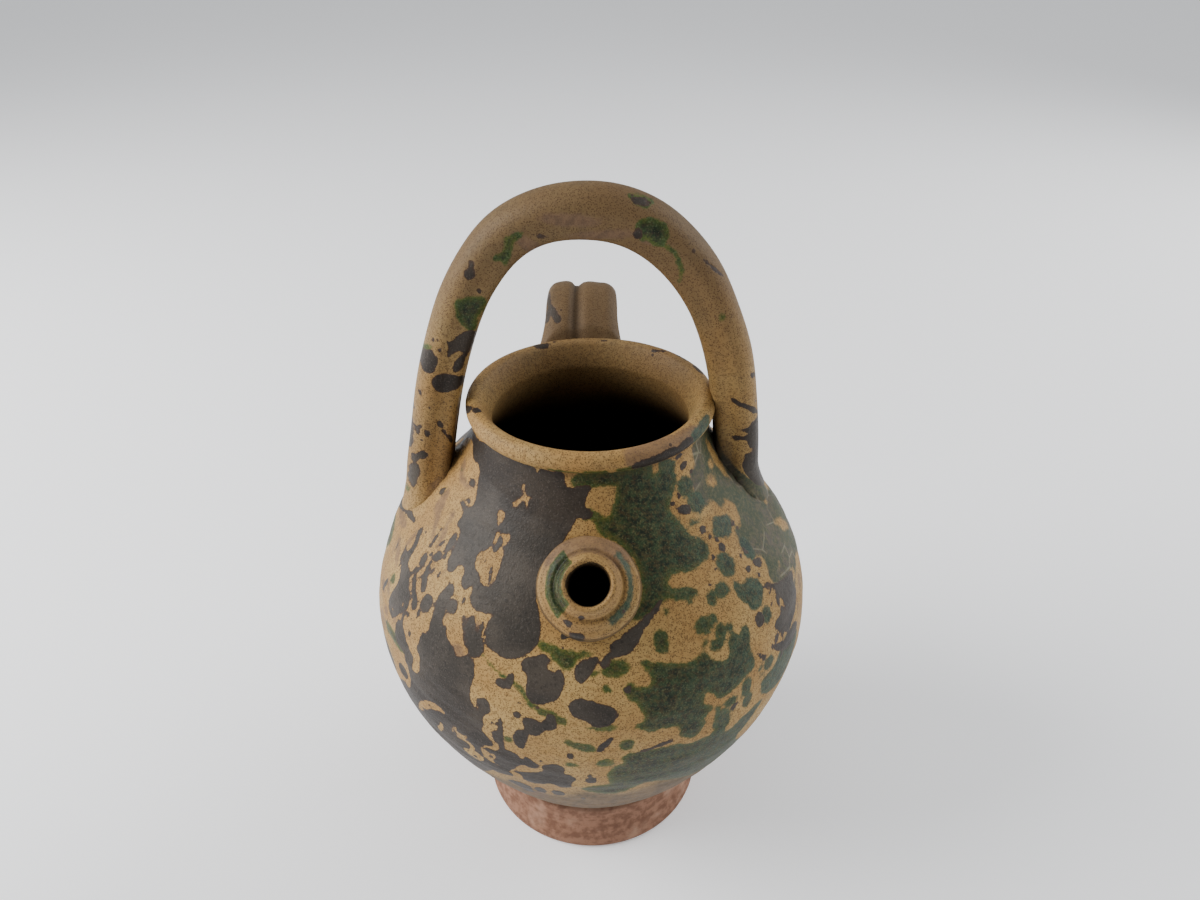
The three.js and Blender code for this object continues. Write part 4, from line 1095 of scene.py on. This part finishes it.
def stepped(value, low, high, to_low=0.0, to_high=1.0):
    inputs = {"Value": value, "From Min": low, "From Max": high, "To Min": to_low, "To Max": to_high}
    return add("ShaderNodeMapRange", inputs, interpolation_type="SMOOTHSTEP").outputs[0]


def colour(screen_values):
    screen = [value / 255 for value in screen_values]
    return tuple(v / 12.92 if v <= 0.04045 else ((v + 0.055) / 1.055) ** 2.4 for v in screen) + (1.0,)


def blend(share, first, second):
    node = add("ShaderNodeMix", data_type="RGBA")
    put(node.inputs[0], share)
    for socket, value in ((node.inputs[6], first), (node.inputs[7], second)):
        put(socket, colour(value) if isinstance(value, tuple) else value)
    return node.outputs[2]


def mottled(pattern, low, high, first, second):
    return blend(stepped(pattern, low, high), first, second)


def flecked(base, pattern, low, high, share, tone):
    return blend(stepped(pattern, low, high, 0.0, share), base, tone)


def field(name):
    return add("ShaderNodeAttribute", attribute_name=name).outputs["Fac"]


def noise(scale, detail=3.0, roughness=0.6, shift=0.0, stretch=(1.0, 1.0, 1.0)):
    place = {"Vector": position, "Location": (shift, 0.7 * shift, -shift), "Scale": stretch}
    inputs = {"Vector": add("ShaderNodeMapping", place).outputs[0], "Scale": scale, "Detail": detail,
              "Roughness": roughness}
    return add("ShaderNodeTexNoise", inputs).outputs["Fac"]


def cells(scale, **settings):
    return add("ShaderNodeTexVoronoi", {"Vector": position, "Scale": scale, "Randomness": 1.0}, **settings)


def random_per_cell(pattern, channel):
    return add("ShaderNodeSeparateColor", {0: pattern.outputs["Color"]}).outputs[channel]


position = add("ShaderNodeTexCoord").outputs["Object"]
fine = noise(1500, roughness=0.55)
grain = noise(700, shift=0.3)
medium = noise(300, shift=0.1)
broad = noise(45, shift=0.2)
vast = noise(16, 2.0, 0.5, 0.5)
streak = noise(260, shift=0.4, stretch=(1.0, 1.0, 0.12))
turned = noise(90, shift=0.6, stretch=(0.3, 0.3, 4.0))

# Bare ground: ochre clay, paler and darker in patches, peppered with fine dark specks.
ground = mottled(broad, 0.32, 0.7, OCHRE, OCHRE_PALE)
ground = flecked(ground, vast, 0.4, 0.66, 0.5, OCHRE_DEEP)
ground = flecked(ground, grain, 0.48, 0.68, 0.6, OCHRE_GRAIN)
# Painted shade on the handles, the spout, the rim's back and inside the neck.
ground = blend(times(field("leg"), 0.9), ground, SHADED_CLAY)
pepper = cells(1700.0)
speck = times(stepped(pepper.outputs["Distance"], 0.55, 0.28), stepped(random_per_cell(pepper, 0), 0.3, 0.5))
ground = blend(times(speck, 0.8), ground, CLAY_SPECK)

# Low on the body the coat thins out to brownish clay, darkened with painted shade towards the foot, and the
# foot is bare and pinkish.
low_clay_shade = stepped(plus(field("low"), centred(streak, 10), centred(broad, 20)), -9.0, 10.0)
ground = blend(times(low_clay_shade, 0.92), ground, mottled(streak, 0.35, 0.7, LOW_CLAY_SHADED, LOW_CLAY_SHADED_DEEP))
patchy = plus(times(turned, 0.35), times(medium, 0.65))
foot = mottled(patchy, 0.4, 0.6, FOOT_PINK, FOOT_BROWN)
foot = flecked(foot, broad, 0.5, 0.68, 0.7, FOOT_PALE)
foot = flecked(foot, grain, 0.58, 0.74, 0.5, FOOT_GRAIN)
bare = stepped(plus(field("bare"), centred(medium, 1.6)), -0.6, 0.6)
ground = blend(bare, ground, foot)

# Thin brown slip.
brown_share = stepped(plus(field("brown"), centred(medium, 2.2)), -0.9, 0.8, 0.0, 0.62)
skin = blend(brown_share, ground, mottled(medium, 0.35, 0.65, BROWN_SLIP, BROWN_SLIP_DEEP))

# Grey-green wash, mottled.
wash_edge = plus(field("wash"), centred(medium, 3.4), centred(broad, 3.0))
wash_share = times(stepped(wash_edge, -0.9, 0.9), stepped(grain, 0.34, 0.66, 0.98, 0.86))
wash = mottled(broad, 0.42, 0.58, WASH_GREEN, WASH_GREY)
wash = flecked(wash, medium, 0.44, 0.6, 0.75, WASH_MOTTLE)
wash = flecked(wash, grain, 0.5, 0.66, 0.5, WASH_GRAIN)
crackle = cells(70.0, feature="DISTANCE_TO_EDGE").outputs[0]
crack = times(stepped(crackle, 0.035, 0.005), stepped(broad, 0.48, 0.6))
wash = blend(times(crack, 0.5), wash, WASH_CRACK)
skin = blend(wash_share, skin, wash)

# Green glaze: yellow-green where thin, dark or bluish where thick.
green_edge = plus(field("green"), centred(medium, 2.6), centred(grain, 1.6))
green_share = times(stepped(green_edge, -0.55, 0.6), stepped(grain, 0.4, 0.7, 0.98, 0.8))
thick = stepped(plus(field("green"), centred(broad, 5.0)), -0.4, 3.2)
thin_green = mottled(medium, 0.4, 0.65, GREEN_THIN, GREEN_THIN_DEEP)
green = blend(thick, thin_green, mottled(medium, 0.36, 0.62, GREEN_THICK, GREEN_THICK_PALE))
green = blend(times(field("teal"), 0.9), green, mottled(medium, 0.36, 0.62, TEAL, TEAL_PALE))
green = flecked(green, fine, 0.54, 0.66, 0.7, GREEN_PIT)
green = flecked(green, fine, 0.44, 0.34, 0.4, GREEN_FLECK)
skin = blend(green_share, skin, green)

# Dark slip, with a thin brown rim and a spray of small drops round it, lighter and greyer on the shoulder as
# a painted sheen of reflected sky.
spray = cells(230.0)
spray_size = stepped(random_per_cell(spray, 1), 0.72, 1.0, 0.0, 0.2)
spray_reach = times(spray_size, stepped(field("dark"), -6.0, -1.5))
drops = stepped(calc("SUBTRACT", spray_reach, spray.outputs["Distance"]), -0.01, 0.02)
dark_edge = plus(field("dark"), centred(medium, 1.7), centred(grain, 0.8))
dark_share = calc("MAXIMUM", stepped(dark_edge, -0.16, 0.16), times(drops, 0.9))
rim = stepped(dark_edge, 0.05, 0.75, 1.0, 0.0)
metres_up = add("ShaderNodeSeparateXYZ", {0: position}).outputs[2]
shoulder_sheen = times(stepped(metres_up, 0.11, 0.17), stepped(metres_up, 0.205, 0.19))
dark_sheen = mottled(broad, 0.36, 0.64, DARK_SHEEN, DARK_SHEEN_PALE)
dark = blend(shoulder_sheen, mottled(broad, 0.36, 0.64, DARK_LOW, DARK_LOW_PALE), dark_sheen)
dark = flecked(dark, grain, 0.5, 0.72, 0.5, DARK_GRAIN)
dark = flecked(dark, fine, 0.44, 0.34, 0.35, DARK_FLECK)
dark = blend(times(rim, 0.5), dark, DARK_RIM)
skin = blend(dark_share, skin, dark)

# Painted shade: inside, the jug turns black quickly away from the mouth, and the creases at the roots, under
# the lip and above the foot are darkened.
depth_shade = stepped(plus(field("inside"), centred(broad, 0.35)), 0.05, 0.62)
skin = blend(times(depth_shade, 0.97), skin, INTERIOR_SHADE_BLACK)
# Painted shade in the creases and grooves.
skin = blend(times(field("crease_shade"), 0.85), skin, CREASE_SHADE)

# Sheen and relief.
covered = calc("MAXIMUM", dark_share, times(green_share, 0.85))
roughness = plus(0.6, centred(grain, 0.16), times(covered, -0.1), times(bare, 0.15))
turning_marks = times(turned, plus(0.12, times(bare, 0.4)))
relief = plus(times(fine, 0.35), times(grain, 0.5), times(dark_share, 0.25), turning_marks)
bump = add("ShaderNodeBump", {"Height": relief, "Strength": 0.7, "Distance": 0.00045})
surface = {"Base Color": skin, "Roughness": roughness, "Normal": bump.outputs[0]}
shader = add("ShaderNodeBsdfPrincipled", surface)
shader.inputs["Specular IOR Level"].default_value = 0.22
shader.inputs["IOR"].default_value = 1.45
add("ShaderNodeOutputMaterial", {"Surface": shader.outputs[0]})
for piece in PIECES:
    piece.data.materials.append(clay)

# Camera of the photograph: a wide lens close to the jug, looking down at it.
camera_data = bpy.data.cameras.new("camera")
camera_data.sensor_fit = "HORIZONTAL"
camera_data.sensor_width = 36.0
camera_data.lens = 27.0
camera_data.clip_start = 0.01
camera_data.clip_end = 50.0
camera = bpy.data.objects.new("camera", camera_data)
camera.location = [value * MM for value in CAMERA_PLACE]
camera.rotation_euler = (math.radians(90.0 - CAMERA_DOWN), 0.0, 0.0)
bpy.context.scene.collection.objects.link(camera)
bpy.context.scene.camera = camera

FLOOR_REACH = 6.0
corners = [(-1, -1), (1, -1), (1, 1), (-1, 1)]
floor_mesh = bpy.data.meshes.new("floor")
floor_mesh.from_pydata([(x * FLOOR_REACH, y * FLOOR_REACH, 0) for x, y in corners], [], [(0, 1, 2, 3)])
floor = bpy.data.objects.new("floor", floor_mesh)
bpy.context.scene.collection.objects.link(floor)
floor_material = bpy.data.materials.new("floor_pale")
floor_material.use_nodes = True
floor_shader = floor_material.node_tree.nodes["Principled BSDF"]
floor_shader.inputs["Base Color"].default_value = (0.9, 0.9, 0.91, 1.0)
floor_shader.inputs["Roughness"].default_value = 0.85
floor_shader.inputs["Emission Color"].default_value = (1.0, 1.0, 1.0, 1.0)
floor_shader.inputs["Emission Strength"].default_value = 0.22
floor_mesh.materials.append(floor_material)

world = bpy.data.worlds.new("studio")
world.use_nodes = True
background = world.node_tree.nodes["Background"]
background.inputs["Color"].default_value = (0.93, 0.96, 1.0, 1.0)
background.inputs["Strength"].default_value = 0.55
bpy.context.scene.world = world

# Where the lights point: the middle of the jug.
LIGHT_TARGET = Vector((0.0, 0.0, 0.15))


def soft_light(name, place, size, power):
    data = bpy.data.lights.new(name, "AREA")
    data.shape = "DISK"
    data.size = size
    data.energy = power
    lamp = bpy.data.objects.new(name, data)
    lamp.location = place
    lamp.rotation_euler = (LIGHT_TARGET - Vector(place)).to_track_quat("-Z", "Y").to_euler()
    bpy.context.scene.collection.objects.link(lamp)


soft_light("key", (-1.35, -0.05, 1.0), 1.2, 42.0)
soft_light("fill", (1.3, 0.5, 0.9), 1.4, 20.0)

for piece in PIECES:
    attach(piece, "root")
    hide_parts("jug")
